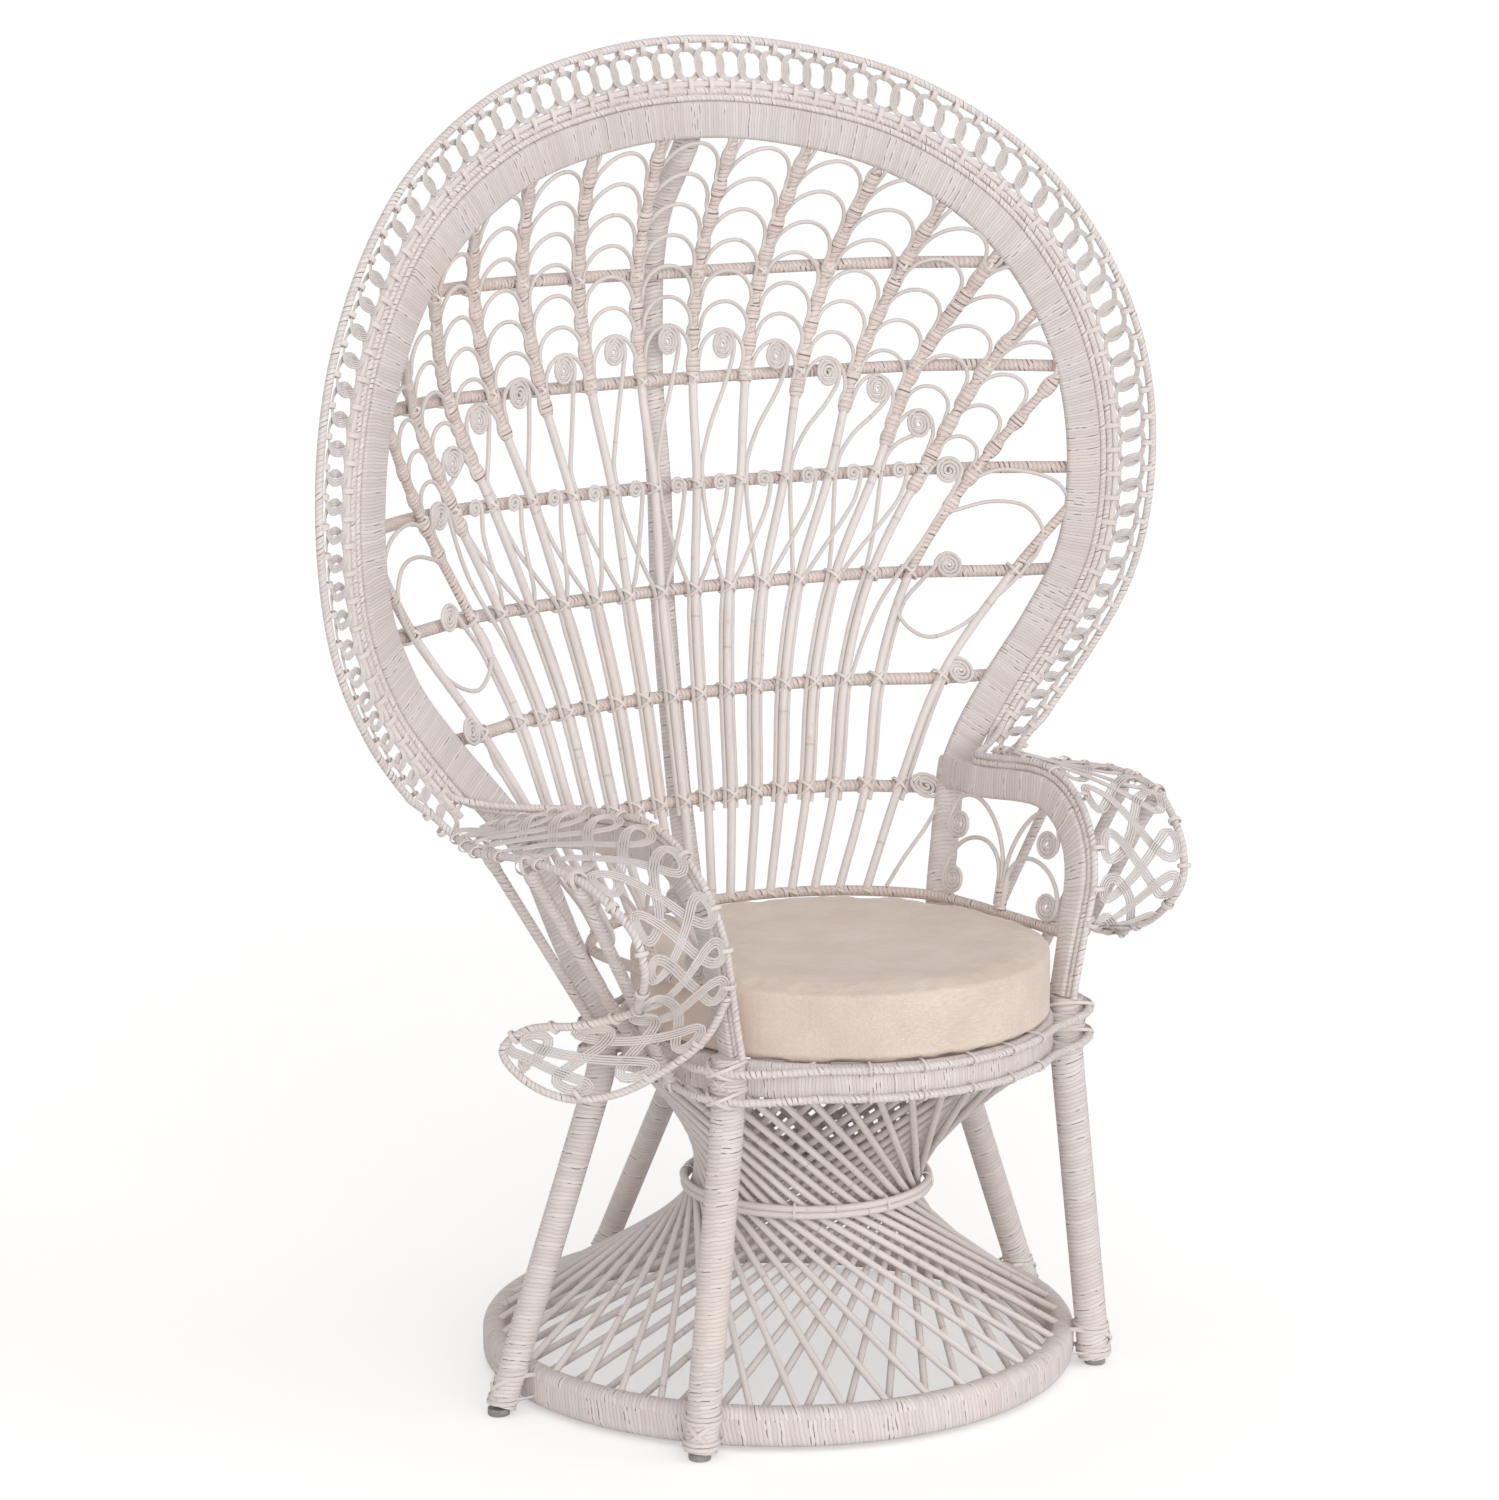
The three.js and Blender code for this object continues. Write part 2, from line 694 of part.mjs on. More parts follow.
// Cushion: a round box cushion with a crowned top and sides that pull in between its two seams
function addCushion() {
  const bottom = seatBandTop + clearance;
  const top = bottom + cushionHeight;
  const edge = cushionEdge;
  const profile = [
    [0, bottom], [cushionRadius - edge, bottom], [cushionRadius - edge / 4, bottom + edge / 3],
    [cushionRadius, bottom + edge], [cushionRadius - cushionPull, bottom + cushionHeight / 3],
    [cushionRadius - cushionPull, top - cushionHeight / 3], [cushionRadius, top - edge],
    [cushionRadius - edge / 4, top - edge / 3], [cushionRadius - edge, top],
    ...crownShares.map(([out, rise]) => [cushionRadius * out, top + cushionCrown * rise]),
    [0, top + cushionCrown],
  ].map(([x, z]) => new THREE.Vector2(x, z));
  const geometry = new THREE.LatheGeometry(profile, smallRingFacets);
  geometry.rotateX(Math.PI / 2);
  geometry.translate(0, seatY, 0);
  add('cushion', outwards(geometry), cotton);
}

// Back: the hoop, its bars and the ribs

function grownBand(width, thickness, growth) {
  return rectangle(width + 2 * growth, thickness + 2 * growth);
}

function hoopSolid(growth) {
  const stations = hoopStations(0, bandSteps, () => 0);
  const run = (station, forwards) => {
    const along = station.through.clone().cross(station.across).multiplyScalar(forwards * hoopBandWidth);
    return { ...station, centre: station.centre.clone().add(along) };
  };
  const ends = [run(stations[0], -1), ...stations, run(stations[bandSteps], 1)];
  const solid = band(ends, grownBand(hoopBandWidth, hoopBandThickness, growth));
  const cut = block(
    point(-floorSpan, -floorSpan, 0),
    point(floorSpan, floorSpan, hoopFoot - growth),
  );
  return fitted(solid, [cut]);
}

function hoopHalfAt(z) {
  const outer = outlineSamples.filter((sample) => sample.x > 0);
  return outer.reduce((best, sample) => (Math.abs(sample.z - z) < Math.abs(best.z - z) ? sample : best)).x;
}

function ribX(place, z) {
  const outermost = Math.abs(place) > ribsPerSide - 1;
  const rise = THREE.MathUtils.smoothstep(z, firstBarHeight, firstBarHeight + 2 * barSpacing);
  const flare = outermost ? Math.sign(place) * outerRibFlare * rise : 0;
  return place * ribPitchAtTop * overRows(ribPitchShares, z) + flare;
}

const ribPlaceNumbers = [];
for (let rib = 0; rib < 2 * ribsPerSide; rib += 1) {
  ribPlaceNumbers.push(rib - ribsPerSide + 0.5);
}

// The height at which a rib runs into the hoop
function ribTop(place) {
  let height = firstBarHeight;
  while (height < hoopTop && distanceToHoop(ribX(place, height), height) > hoopBandWidth / 4) {
    height += reedRadius;
  }
  return height;
}

function ribHeights(place) {
  const top = ribTop(place);
  const rows = rowHeights.slice(1).filter((height) => height < top - hoopBandWidth);
  return [seatHoopHeight + seatHoopRadius / 2, ...rows, top];
}

function ribSolid(place, growth) {
  const places = ribHeights(place).map((height) => onLattice(ribX(place, height), height));
  return facedCane(places, ribRadius + growth, caneSides, towardsBack);
}

function barSolid(bar, growth) {
  const height = firstBarHeight + bar * barSpacing;
  const end = hoopHalfAt(height);
  const crossings = ribPlaceNumbers.map((place) => ribX(place, height)).filter(
    (x) => Math.abs(x) < end - hoopBandWidth / 2,
  );
  const places = [-end, ...crossings, end].map(
    (x) => onLattice(x, height).addScaledVector(latticeNormal(x, height), barDepth),
  );
  return facedCane(places, barRadius + growth, barSides, ({ x }) => latticeNormal(x, height));
}

function seatHoopSolid(growth) {
  const places = seatHoopCurve.getSpacedPoints(bandSteps / 2);
  return facedCane(places, seatHoopRadius + growth, barSides, () => up);
}

// Arms: a flat band in a leaning plane, level above and bent down to the front leg

function armX(z) {
  return armHalfWidth + (z - armWidthHeight) * armLean;
}

const armOutward = point(1, 0, -armLean).normalize();
const cornerSteps = 5;

function armOutline(offset) {
  const top = armTop + offset;
  const front = armFront + offset;
  const bendY = -(armFront - armCornerRadius);
  const bendZ = armTop - armCornerRadius;
  const places = [[-armRear / 2, top], [(bendY - armRear / 2) / 2, top]];
  for (let step = 0; step <= cornerSteps; step += 1) {
    const angle = fullTurn / 4 * step / cornerSteps;
    const reach = armCornerRadius + offset;
    places.push([bendY - reach * Math.sin(angle), bendZ + reach * Math.cos(angle)]);
  }
  places.push([-front, (bendZ + armBandFoot) / 2], [-front, armBandFoot - armBandThickness]);
  return places.map(([y, z]) => point(armX(z), y, z));
}

function armBandSolid(side, growth) {
  const rearEnd = point(hoopFootHalf, hoopDepth(hoopFootHalf, armTop), armTop - armBandThickness / 2);
  const stations = stationsThrough([rearEnd, ...armOutline(0)], () => armOutward);
  const solid = band(onSide(stations, side), grownBand(armBandWidth, armBandThickness, growth));
  return solid.subtract(belowArms);
}

// Border: offsets outwards from the middle of the hoop

const edgingFlat = flatRadius(edgingRadius, caneSides);
const edgingCorner = cornerRadius(edgingRadius, caneSides);
const innerEdging = hoopBandWidth / 2 + clearance + edgingFlat;
const outerEdging = innerEdging + 2 * edgingFlat + clearance;
const railMiddle = outerEdging + edgingFlat + clearance + railWidth / 2;
const chainInner = railMiddle + railWidth / 2 + clearance;

const borderFrom = bandStepsBelowBorder;
const borderTo = bandSteps - bandStepsBelowBorder;

function chainWidthAt(step) {
  const fromFoot = Math.min(step - borderFrom, borderTo - step) / (3 * bandStepsBelowBorder);
  return chainWidth * THREE.MathUtils.lerp(chainTaperShare, 1, THREE.MathUtils.smoothstep(fromFoot, 0, 1));
}

function rimOffset(step) {
  return chainInner + chainWidthAt(step) + clearance + flatRadius(rimRadius, caneSides);
}

// The edging canes follow the hoop, turn forward over the arm and run down its front to the leg
function edgingStations(offset, armOffset, lift) {
  const hoopPart = hoopStations(bandSteps / 2, borderTo, () => offset);
  const turn = hoopPart[hoopPart.length - 1];
  const beyond = offset - innerEdging;
  const aside = offset + edgingStepAside * (edgingCorner - edgingFlat);
  const leaving = hoopStation((borderTo + 0.5) / bandSteps, aside);
  const top = armTop + armOffset + lift;
  const forward = edgingStepForward * hoopBandThickness + edgingStepSpread * beyond;
  const before = hoopDepth(hoopFootHalf, top) - 3 * hoopBandThickness - beyond;
  const bend = [
    leaving.centre.clone().addScaledVector(leaving.through, -forward),
    point(hoopFootHalf + hoopBandWidth + beyond, before, top),
    point(hoopFootHalf, armRear, top),
  ];
  const path = smooth([turn.centre, ...bend, armOutline(armOffset)[0]], cornerSteps + 3);
  const places = [...path.slice(1, -1), ...armOutline(armOffset)];
  const inwards = ({ y, z }) => {
    const drop = Math.min(0, armTop - armCornerRadius - z);
    return point(armLean * drop, Math.max(0, armCornerRadius - armFront - y), drop).normalize();
  };
  const facing = (centre) => {
    const share = THREE.MathUtils.clamp((turn.centre.y - centre.y) / (turn.centre.y + armRear / 2), 0, 1);
    return turn.through.clone().lerp(inwards(centre), share);
  };
  return [...hoopPart, ...stationsThrough(places, facing)];
}

function edgingSolid(stations, growth) {
  return band(bothSides(stations), polygon(edgingRadius + growth, caneSides)).subtract(belowArms);
}

const armEdging = armBandWidth / 2 + clearance + edgingFlat;
const outerArmEdging = armEdging + 2 * edgingFlat + clearance;
const innerEdgingStations = edgingStations(innerEdging, armEdging, 0);
const outerEdgingStations = edgingStations(outerEdging, outerArmEdging, 2 * (edgingCorner - edgingFlat));

// The chain of the border: two strands that swing from the rail to the rim and cross between them
function chainStrand(face) {
  const halfWaves = chainRings;
  const flat = flatRadius(chainStrandRadius, reedSides);
  const stations = [];
  for (let step = 0; step <= 2 * halfWaves; step += 1) {
    const along = borderFrom + (borderTo - borderFrom) * (step + 0.5) / (2 * halfWaves + 1);
    const station = Math.floor(along);
    const inset = cornerRadius(chainStrandRadius, reedSides) + clearance;
    const swing = [1, 1, -1, -1][(step + (face === back ? 0 : 2)) % 4];
    const [before, after] = [station, station + 1].map((place) => {
      const middle = chainInner + chainWidthAt(place) / 2;
      return hoopStation(place / bandSteps, middle + swing * (chainWidthAt(place) / 2 - inset));
    });
    const share = along - station;
    const through = before.through.clone().lerp(after.through, share).normalize();
    const centre = before.centre.clone().lerp(after.centre, share);
    centre.addScaledVector(through, face * (flat + clearance));
    stations.push({ centre, through: through.multiplyScalar(-face) });
  }
  const places = stations.map(({ centre }) => centre);
  const faced = stationsThrough(places, (centre) => stations[places.indexOf(centre)].through);
  return band(faced, polygon(chainStrandRadius, reedSides));
}

// Flares: the strip between the arm's edging and the rim, from the border over the arm and back under it

const frontDrop = armTop - seatBandTop;

// Places beside the arm: shares of the flare's reach, of the arm's front and of its height over the seat
function besideArm([beyond, forward, height]) {
  const z = seatBandTop + height * frontDrop;
  return point(armX(z) + beyond * flareReach, -forward * armFront, z);
}

const rimShares = [
  [1.07, -0.306, 1.084], [0.96, -0.278, 0.995], [1.013, -0.139, 0.977], [1.13, 0.046, 0.986],
  [1.18, 0.24, 0.995], [1.11, 0.463, 1.014], [1.03, 0.764, 0.995], [0.967, 0.93, 0.949],
  [0.88, 1.18, 0.757], [0.877, 1.218, 0.57], [0.834, 1.056, 0.36], [0.735, 0.94, 0.304],
  [1.035, 0.741, 0.22], [1.37, 0.523, 0.178], [1.63, 0.426, 0.084], [1.54, 0.5, -0.028],
  [1.246, 0.625, -0.075], [0.895, 0.741, -0.06], [0.55, 0.88, 0.033], [0.22, 1.04, 0.206],
  [0.045, 1.134, 0.383],
];

// The strip's inner edge, place by place across from the rim
const flareInnerShares = [
  [0.28, -0.2, 1.1], [0.22, -0.14, 1.12], [0.1, 0, 1.15], [0.03, 0.2, 1.16], [0.02, 0.42, 1.16],
  [0.02, 0.69, 1.12], [0.02, 0.93, 1.03], [0.02, 1.12, 0.8], [0.02, 1.16, 0.6], [0.04, 1.15, 0.42],
  [0.28, 1.01, 0.17], [0.63, 0.84, 0.01], [1.13, 0.66, -0.07], [1.5, 0.5, 0.0],
];
const flareOuterShares = [
  [0.96, -0.278, 0.995], [1.013, -0.139, 0.977], [1.13, 0.046, 0.986], [1.18, 0.24, 0.995],
  [1.11, 0.463, 1.014], [1.03, 0.764, 0.995], [0.967, 0.93, 0.949], [0.88, 1.18, 0.757],
  [0.877, 1.218, 0.57], [0.834, 1.056, 0.36], [0.735, 0.94, 0.304], [1.035, 0.741, 0.22],
  [1.37, 0.523, 0.178], [1.6, 0.44, 0.06],
];

function outerRimStations() {
  const border = hoopStations(bandSteps / 2, borderTo, rimOffset);
  const turn = border[border.length - 1];
  const ear = smooth([turn.centre, ...rimShares.map(besideArm)], earSteps);
  const transported = stationsThrough([border[border.length - 2].centre, ...ear], (centre, previous) => (
    previous ?? turn.through
  ));
  return [...border, ...transported.slice(2)];
}

function rimSolid(stations, growth) {
  return band(bothSides(stations), polygon(rimRadius + growth, caneSides));
}

const flareInner = new THREE.CatmullRomCurve3(flareInnerShares.map(besideArm), false, 'centripetal');
const flareOuter = new THREE.CatmullRomCurve3(flareOuterShares.map(besideArm), false, 'centripetal');

function onFlare(along, across) {
  return flareInner.getPoint(along).lerp(flareOuter.getPoint(along), across);
}

function flareSolid(side, neighbours) {
  const ribbons = [0, 1].map((phase) => {
    const places = [];
    const steps = 4 * ribbonCrossings;
    for (let step = 0; step <= steps; step += 1) {
      const along = step / steps;
      const swing = Math.cos(Math.PI * (ribbonCrossings * along + phase));
      places.push(onFlare(along, 0.5 - 0.5 * swing));
    }
    const nudge = 1 / steps;
    const layer = (phase - 0.5) * ribbonThickness / 2;
    const facing = (centre) => {
      const along = places.indexOf(centre) / steps;
      const forwards = onFlare(Math.min(1, along + nudge), 0.5).sub(onFlare(Math.max(0, along - nudge), 0.5));
      return forwards.cross(onFlare(along, 1).sub(onFlare(along, 0))).normalize();
    };
    const stations = stationsThrough(places, facing).map((station) => (
      { ...station, centre: station.centre.clone().addScaledVector(station.through, layer) }
    ));
    return band(onSide(stations, side), rectangle(ribbonWidth, ribbonThickness));
  });
  return fitted(joined(ribbons), neighbours);
}

// Struts: three under each arm, from the rim down to the seat's rim canes
const strutShares = [[1.02, 0.07, 0.98], [1.1, 0.53, 0.98], [0.98, 0.85, 0.96]];
const strutFootTurns = [18 / 360, -5 / 360, -11 / 360];

function strutSolid(strut, side, neighbours) {
  const height = rimHeights[strut === 0 ? 1 : 0];
  const foot = onCircle(seatY, rimReach(strutFootTurns[strut]), strutFootTurns[strut], height);
  const stations = stationsThrough([besideArm(strutShares[strut]), foot], () => armOutward);
  return fitted(band(onSide(stations, side), polygon(strutRadius, barSides)), neighbours);
}

// Arm panels: a post on the seat hoop that splits into four curls under the arm
const curlShares = [
  [0.01, 0.75], [0.06, 0.45], [0.73, 0.77], [0.8, 0.44],
];

function panelSolid(side, neighbours) {
  const inArm = (y, z) => point(armX(z), y, z);
  const foot = seatHoopHeight;
  const top = foot + bundleHeight;
  const faceOutward = () => armOutward;
  const post = stationsThrough([inArm(-bundleForward, foot), inArm(-bundleForward, top)], faceOutward);
  const pieces = [band(onSide(post, side), polygon(bundleRadius, caneSides))];
  const reach = scrollRadius + reedRadius;
  curlShares.forEach(([forward, height]) => {
    const centre = new THREE.Vector2(-forward * armFront, seatBandTop + height * frontDrop);
    const towards = Math.sign(centre.x + bundleForward);
    const places = [inArm(-bundleForward, top - bundleRadius)];
    for (let step = 0; step <= curlSteps; step += 1) {
      const share = step / curlSteps;
      const angle = fullTurn * (curlStartTurns - curlTurns * share);
      const radius = reach * (1 - curlTightening * share);
      const out = radius * Math.cos(angle) * towards;
      places.push(inArm(centre.x + out, centre.y + radius * Math.sin(angle)));
    }
    pieces.push(band(onSide(stationsThrough(places, faceOutward), side), polygon(reedRadius, caneSides)));
  });
  return fitted(joined(pieces), neighbours);
}

// Assembly

const sides = [['left', leftSide], ['right', rightSide]];

function addBack(armRooms) {
  const hoopRoom = hoopSolid(clearance);
  const seatHoopRoom = seatHoopSolid(clearance);
  const rearLegRooms = sides.map(([, side]) => legSolid(rearLeg, side, clearance));
  const ribRooms = ribPlaceNumbers.map((place) => ribSolid(place, clearance));
  add('back_hoop', hoopSolid(0), woundCane);
  add('seat_hoop', fitted(seatHoopSolid(0), armRooms), woundCane);
  for (let bar = 0; bar < barCount; bar += 1) {
    const neighbours = [hoopRoom, ...rearLegRooms, ...ribRooms];
    add(`cross_bar_${bar + 1}`, fitted(barSolid(bar, 0), neighbours), woundCane);
  }
  ribPlaceNumbers.forEach((place, rib) => {
    add(`rib_${rib + 1}`, fitted(ribSolid(place, 0), [hoopRoom, seatHoopRoom]), peeledCane);
  });
  sides.forEach(([name, side]) => {
    add(`arm_band_${name}`, fitted(armBandSolid(side, 0), [hoopRoom]), woundCane);
    add(`arm_panel_${name}`, panelSolid(side, [seatHoopRoom]), reedCane);
  });
}

function addBorder() {
  const rimStations = outerRimStations();
  const rimRoom = rimSolid(rimStations, clearance);
  const edgings = [innerEdgingStations, outerEdgingStations];
  const edgingRooms = edgings.map((place) => edgingSolid(place, clearance));
  const seatRimRooms = rimHeights.map((height) => rimCane(height, clearance));
  add('edging_cane_inner', edgingSolid(innerEdgingStations, 0), peeledCane);
  add('edging_cane_outer', edgingSolid(outerEdgingStations, 0), peeledCane);
  const rail = rectangle(railWidth, 2 * chainStrandRadius);
  add('border_rail', band(hoopStations(borderFrom, borderTo, () => railMiddle), rail), peeledCane);
  add('border_chain_front', chainStrand(front), reedCane);
  add('border_chain_back', chainStrand(back), reedCane);
  add('outer_rim', fitted(rimSolid(rimStations, 0), edgingRooms), woundCane);
  sides.forEach(([name, side]) => {
    add(`arm_flare_${name}`, flareSolid(side, [rimRoom, ...edgingRooms]), reedCane);
    strutShares.forEach((share, strut) => {
      add(`arm_strut_${name}_${strut + 1}`, strutSolid(strut, side, [rimRoom, ...seatRimRooms]), peeledCane);
    });
  });
}

const seatBandRoom = addBase();
addSeat(seatBandRoom);
addCushion();
sides.forEach(([name, side]) => {
  addLeg(`front_leg_${name}`, frontLeg, side, [aboveFrontLegs]);
  addLeg(`rear_leg_${name}`, rearLeg, side, [aboveRearLegs]);
});
addLeg('back_post', backPost, leftSide, []);
addBack(sides.map(([, side]) => armBandSolid(side, clearance)));
addBorder();

// The origin is on the floor under the middle of the chair's overall box
const overall = new THREE.Box3().setFromObject(chair);
const toMiddle = -(overall.min.y + overall.max.y) / 2;
chair.children.forEach((mesh) => mesh.geometry.translate(0, toMiddle, 0));

export default chair;
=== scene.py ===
"""Peacock chair in white-washed rattan: wound canes, a fretwork border, flares and a box cushion."""

import math
from functools import partial

import bmesh
import bpy
import numpy as np
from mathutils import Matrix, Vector, noise


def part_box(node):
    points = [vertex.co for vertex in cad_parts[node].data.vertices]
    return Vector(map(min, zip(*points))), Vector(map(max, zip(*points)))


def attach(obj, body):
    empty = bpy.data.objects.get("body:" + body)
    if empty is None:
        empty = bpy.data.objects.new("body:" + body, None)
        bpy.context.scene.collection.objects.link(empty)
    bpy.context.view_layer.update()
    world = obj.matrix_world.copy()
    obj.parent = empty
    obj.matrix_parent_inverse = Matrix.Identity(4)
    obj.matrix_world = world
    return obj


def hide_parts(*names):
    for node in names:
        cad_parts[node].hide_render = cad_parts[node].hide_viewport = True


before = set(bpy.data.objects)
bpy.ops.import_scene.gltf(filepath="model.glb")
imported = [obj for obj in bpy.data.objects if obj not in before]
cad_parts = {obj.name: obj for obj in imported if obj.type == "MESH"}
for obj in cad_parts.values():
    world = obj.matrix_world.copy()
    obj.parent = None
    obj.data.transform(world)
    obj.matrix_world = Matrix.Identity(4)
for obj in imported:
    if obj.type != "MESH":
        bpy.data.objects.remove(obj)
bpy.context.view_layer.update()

bl_info = {
    "name": "Peacock chair",
    "version": (1, 0, 0),
    "blender": (4, 5, 0),
    "location": "View3D > Sidebar > Peacock chair",
    "description": "Makes the wound canes, the fretwork and the cushion of a peacock chair",
    "category": "Add Mesh",
}

# Lengths below are in millimetres in the chair's own frame, whose middle is the floor ring's middle
MM = 0.001
RING_LOW, RING_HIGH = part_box("waist_cane_lower")
CLEARANCE = 0.3
WAIST_FORWARD = 53.0
FRAME_SHIFT = (RING_LOW.y + RING_HIGH.y) / 2 / MM + WAIST_FORWARD

BASE_RING_RADIUS = 330.0
BASE_RING_THICKNESS = 26.0
BASE_RING_HEIGHT = 43.0
BASE_RING_LIFT = 5.0
WAIST_HEIGHT = 217.0
WAIST_CANE_CIRCLE = 135.0
STRAND_COUNT = 40
STRAND_RADIUS = 4.0
LOWER_TWIST = math.radians(67)
UPPER_TWIST = math.radians(61)

SEAT_Y = -105.0
WAIST_Y = -WAIST_FORWARD
BAND_RADIUS = 236.0
BAND_THICKNESS = 14.0
BAND_TOP = 418.0
BAND_BOTTOM = 379.0
RIM_CANE_RADIUS = 4.5
# The base canes: the way that they twist, the circle and height of their feet, their waist and their heads
OUTER_STRANDS = (-1, (312.7, 44.0), 123.0, (229.0, BAND_BOTTOM + 2))
INNER_STRANDS = (1, (300.0, 26.5), 110.0, (220.0, 392.0))
RIM_TIES = 26
# How far round on each side of a leg the seat's rim canes swing out
RIM_BULGE = math.radians(26)

LEG_RADII = {"front": 18.0, "rear": 16.0, "post": 14.0}
# How far round the floor ring each leg's foot stands, and how far round the seat it passes, in degrees
LEG_TURNS = {"front": (-41, -28), "rear": (1, 26), "post": (90, 90)}
# How high the legs' windings start and their foot lashings sit
POLE_START = 9.0
FOOT_TIE_HEIGHT = 30.0

HOOP_TOP = 1364.0
HOOP_FOOT = 606.0
HOOP_HALF = 472.0
HOOP_WIDTH = 40.0
HOOP_THICKNESS = 10.0
HOOP_BACK = 150.0
HOOP_WRAP = 90.0
HOOP_FOOT_FORWARD = 55.0
HOOP_FOOT_START = 800.0
DISH_DEPTH = 65.0
DISH_RUN = 175.0
BAR_RADIUS = 7.0
BAR_COUNT = 6
BAR_FIRST = 606.0
BAR_SPACING = 117.0
SEAT_HOOP_RADIUS = 6.0
SEAT_HOOP_HEIGHT = 491.0
SEAT_HOOP_BACK = 146.0
SEAT_HOOP_HALF = 237.0
SEAT_HOOP_REACH = 361.0
RIB_RADIUS = 5.0
RIBS_PER_SIDE = 8
RIB_PITCH_TOP = 98.0
OUTER_RIB_FLARE = 62.0

EDGING_RADIUS = 3.8
EDGING_OFFSETS = [23.8, 31.5]
# How far each edging cane follows the hoop, as a share of the hoop's length
EDGING_TO = [0.961, 0.954]
RAIL_MIDDLE = 38.9
RAIL_WIDTH = 6.8
RAIL_THICKNESS = 4.4
CHAIN_INNER = 41.2
CHAIN_WIDTH = 38.0
CHAIN_RINGS = 80
CHAIN_FROM = 0.035
CHAIN_TO = 0.965
CHAIN_TAPER = 0.62
CHAIN_NARROWING = 9 / 48
# Half a ring's width as a share of the rings' spacing, and how far it leans out over the next ring
RING_WIDE = 0.79
RING_LEAN = 3.4
# How far the head of a ring and its outer tie are shifted along the chain
RING_HEAD_BACK = 5.0
RING_TIE_BACK = 5.5
RIM_RADIUS = 4.3
RIM_SPACE = 8.0
BORDER_FROM = 3 / 48
BORDER_TO = 45 / 48
REED_RADIUS = 2.6
THIN_REED = REED_RADIUS - 0.2
SCROLL_REED = 2.15
SCROLL_END = 0.8
REED_SIDES = 7
# Half a lashing's width where reeds run beside the rib, up to the height where they leave it, and above
TIE_WITH_REEDS, TIE_ALONE, REEDS_LEAVE = 11.5, 8.5, 900.0
BESIDE_RIB = 7.4
BELOW_FIRST_BAR = 15.0

ARM_TOP = 632.0
ARM_FRONT = 216.0
ARM_CORNER = 95.0
ARM_HALF = 222.0
ARM_WIDTH_HEIGHT = 436.0
ARM_LEAN = 0.19
ARM_REAR = 30.0
ARM_BAND_WIDTH = 35.0
ARM_BAND_FOOT_WIDTH = 26.0
ARM_BAND_THICKNESS = 12.0
ARM_BAND_FOOT = 426.0
FLARE_REACH = 128.0
STRUT_RADII = [5.6, 6.8, 6.8]

# Half of the hoop, from its top to its foot, as shares of its half width and of its height
HOOP_SHARES = [
    (0, 1), (0.26, 0.985), (0.53, 0.938), (0.775, 0.838), (0.935, 0.69), (1, 0.53),
    (0.985, 0.35), (0.9, 0.235), (0.79, 0.145), (0.69, 0.07), (0.604, 0),
]
# Half of the horseshoe hoop, from the back forwards, as shares of its half width and of its reach
SEAT_HOOP_SHARES = [
    (0, 0), (0.32, 0.02), (0.6, 0.09), (0.82, 0.2), (0.97, 0.34), (1, 0.48), (0.995, 0.75), (0.98, 1),
]
# The ribs' spacing and the depth of the dish at the seat hoop, at each bar and at the top
RIB_PITCH_SHARES = [0.25, 0.33, 0.38, 0.465, 0.585, 0.71, 0.835, 1]
DISH_SHARES = [0, 0.16, 0.44, 0.68, 0.74, 1, 1, 1]
# The height of the large scrolls, from the middle cell outwards
SCROLL_HEIGHTS = [1118.0, 1110.0, 1094.0, 1072.0, 1050.0, 1009.0, 955.0, 846.0]
# The reeds of the wide outer cells: how far from the middle and how high
OUTER_LOOP = [
    (344, 908), (388, 919), (420, 912), (433, 887), (429, 865), (409, 836),
    (392, 818), (340, 776), (305, 766), (283, 780), (275, 803), (287, 828),
]
HALF_ARC = [(366, 944), (392, 955), (428, 951), (448, 940), (458, 922)]
INNER_CURL = (338, 846)
OUTER_CURL = (331, 727)
FOOT_CURL = (264, 603)
FOOT_CURL_RISE = [(200, 497), (222, 530), (252, 566)]
# The cells on each side of the middle one where two reeds cross
CROSSED_CELLS = 5
# The rim beside each arm, as shares of the flare's reach, of the arm's forward length and of its height
RIM_SHARES = [
    (1.07, -0.306, 1.084), (0.96, -0.278, 0.995), (1.013, -0.139, 0.977), (1.13, 0.046, 0.986),
    (1.18, 0.24, 0.995), (1.11, 0.463, 1.014), (1.03, 0.764, 0.995), (0.967, 0.93, 0.949),
    (0.88, 1.18, 0.757), (0.877, 1.218, 0.57), (0.834, 1.056, 0.36), (0.735, 0.94, 0.304),
    (1.035, 0.741, 0.22), (1.37, 0.523, 0.178),
]
# The rim's way back to the arm's foot: bent by hand, it hangs lower on the sitter's right than on the left
RIM_RETURNS = {
    1: [
        (1.56, 0.43, 0.16), (1.45, 0.5, 0.17), (1.2, 0.625, 0.2), (0.88, 0.741, 0.24),
        (0.55, 0.88, 0.3), (0.22, 1.04, 0.37), (0.045, 1.134, 0.44),
    ],
    -1: [
        (1.53, 0.43, 0.07), (1.45, 0.5, -0.07), (1.2, 0.625, -0.165), (0.87, 0.741, -0.15),
        (0.55, 0.88, -0.04), (0.22, 1.04, 0.15), (0.045, 1.134, 0.36),
    ],
}
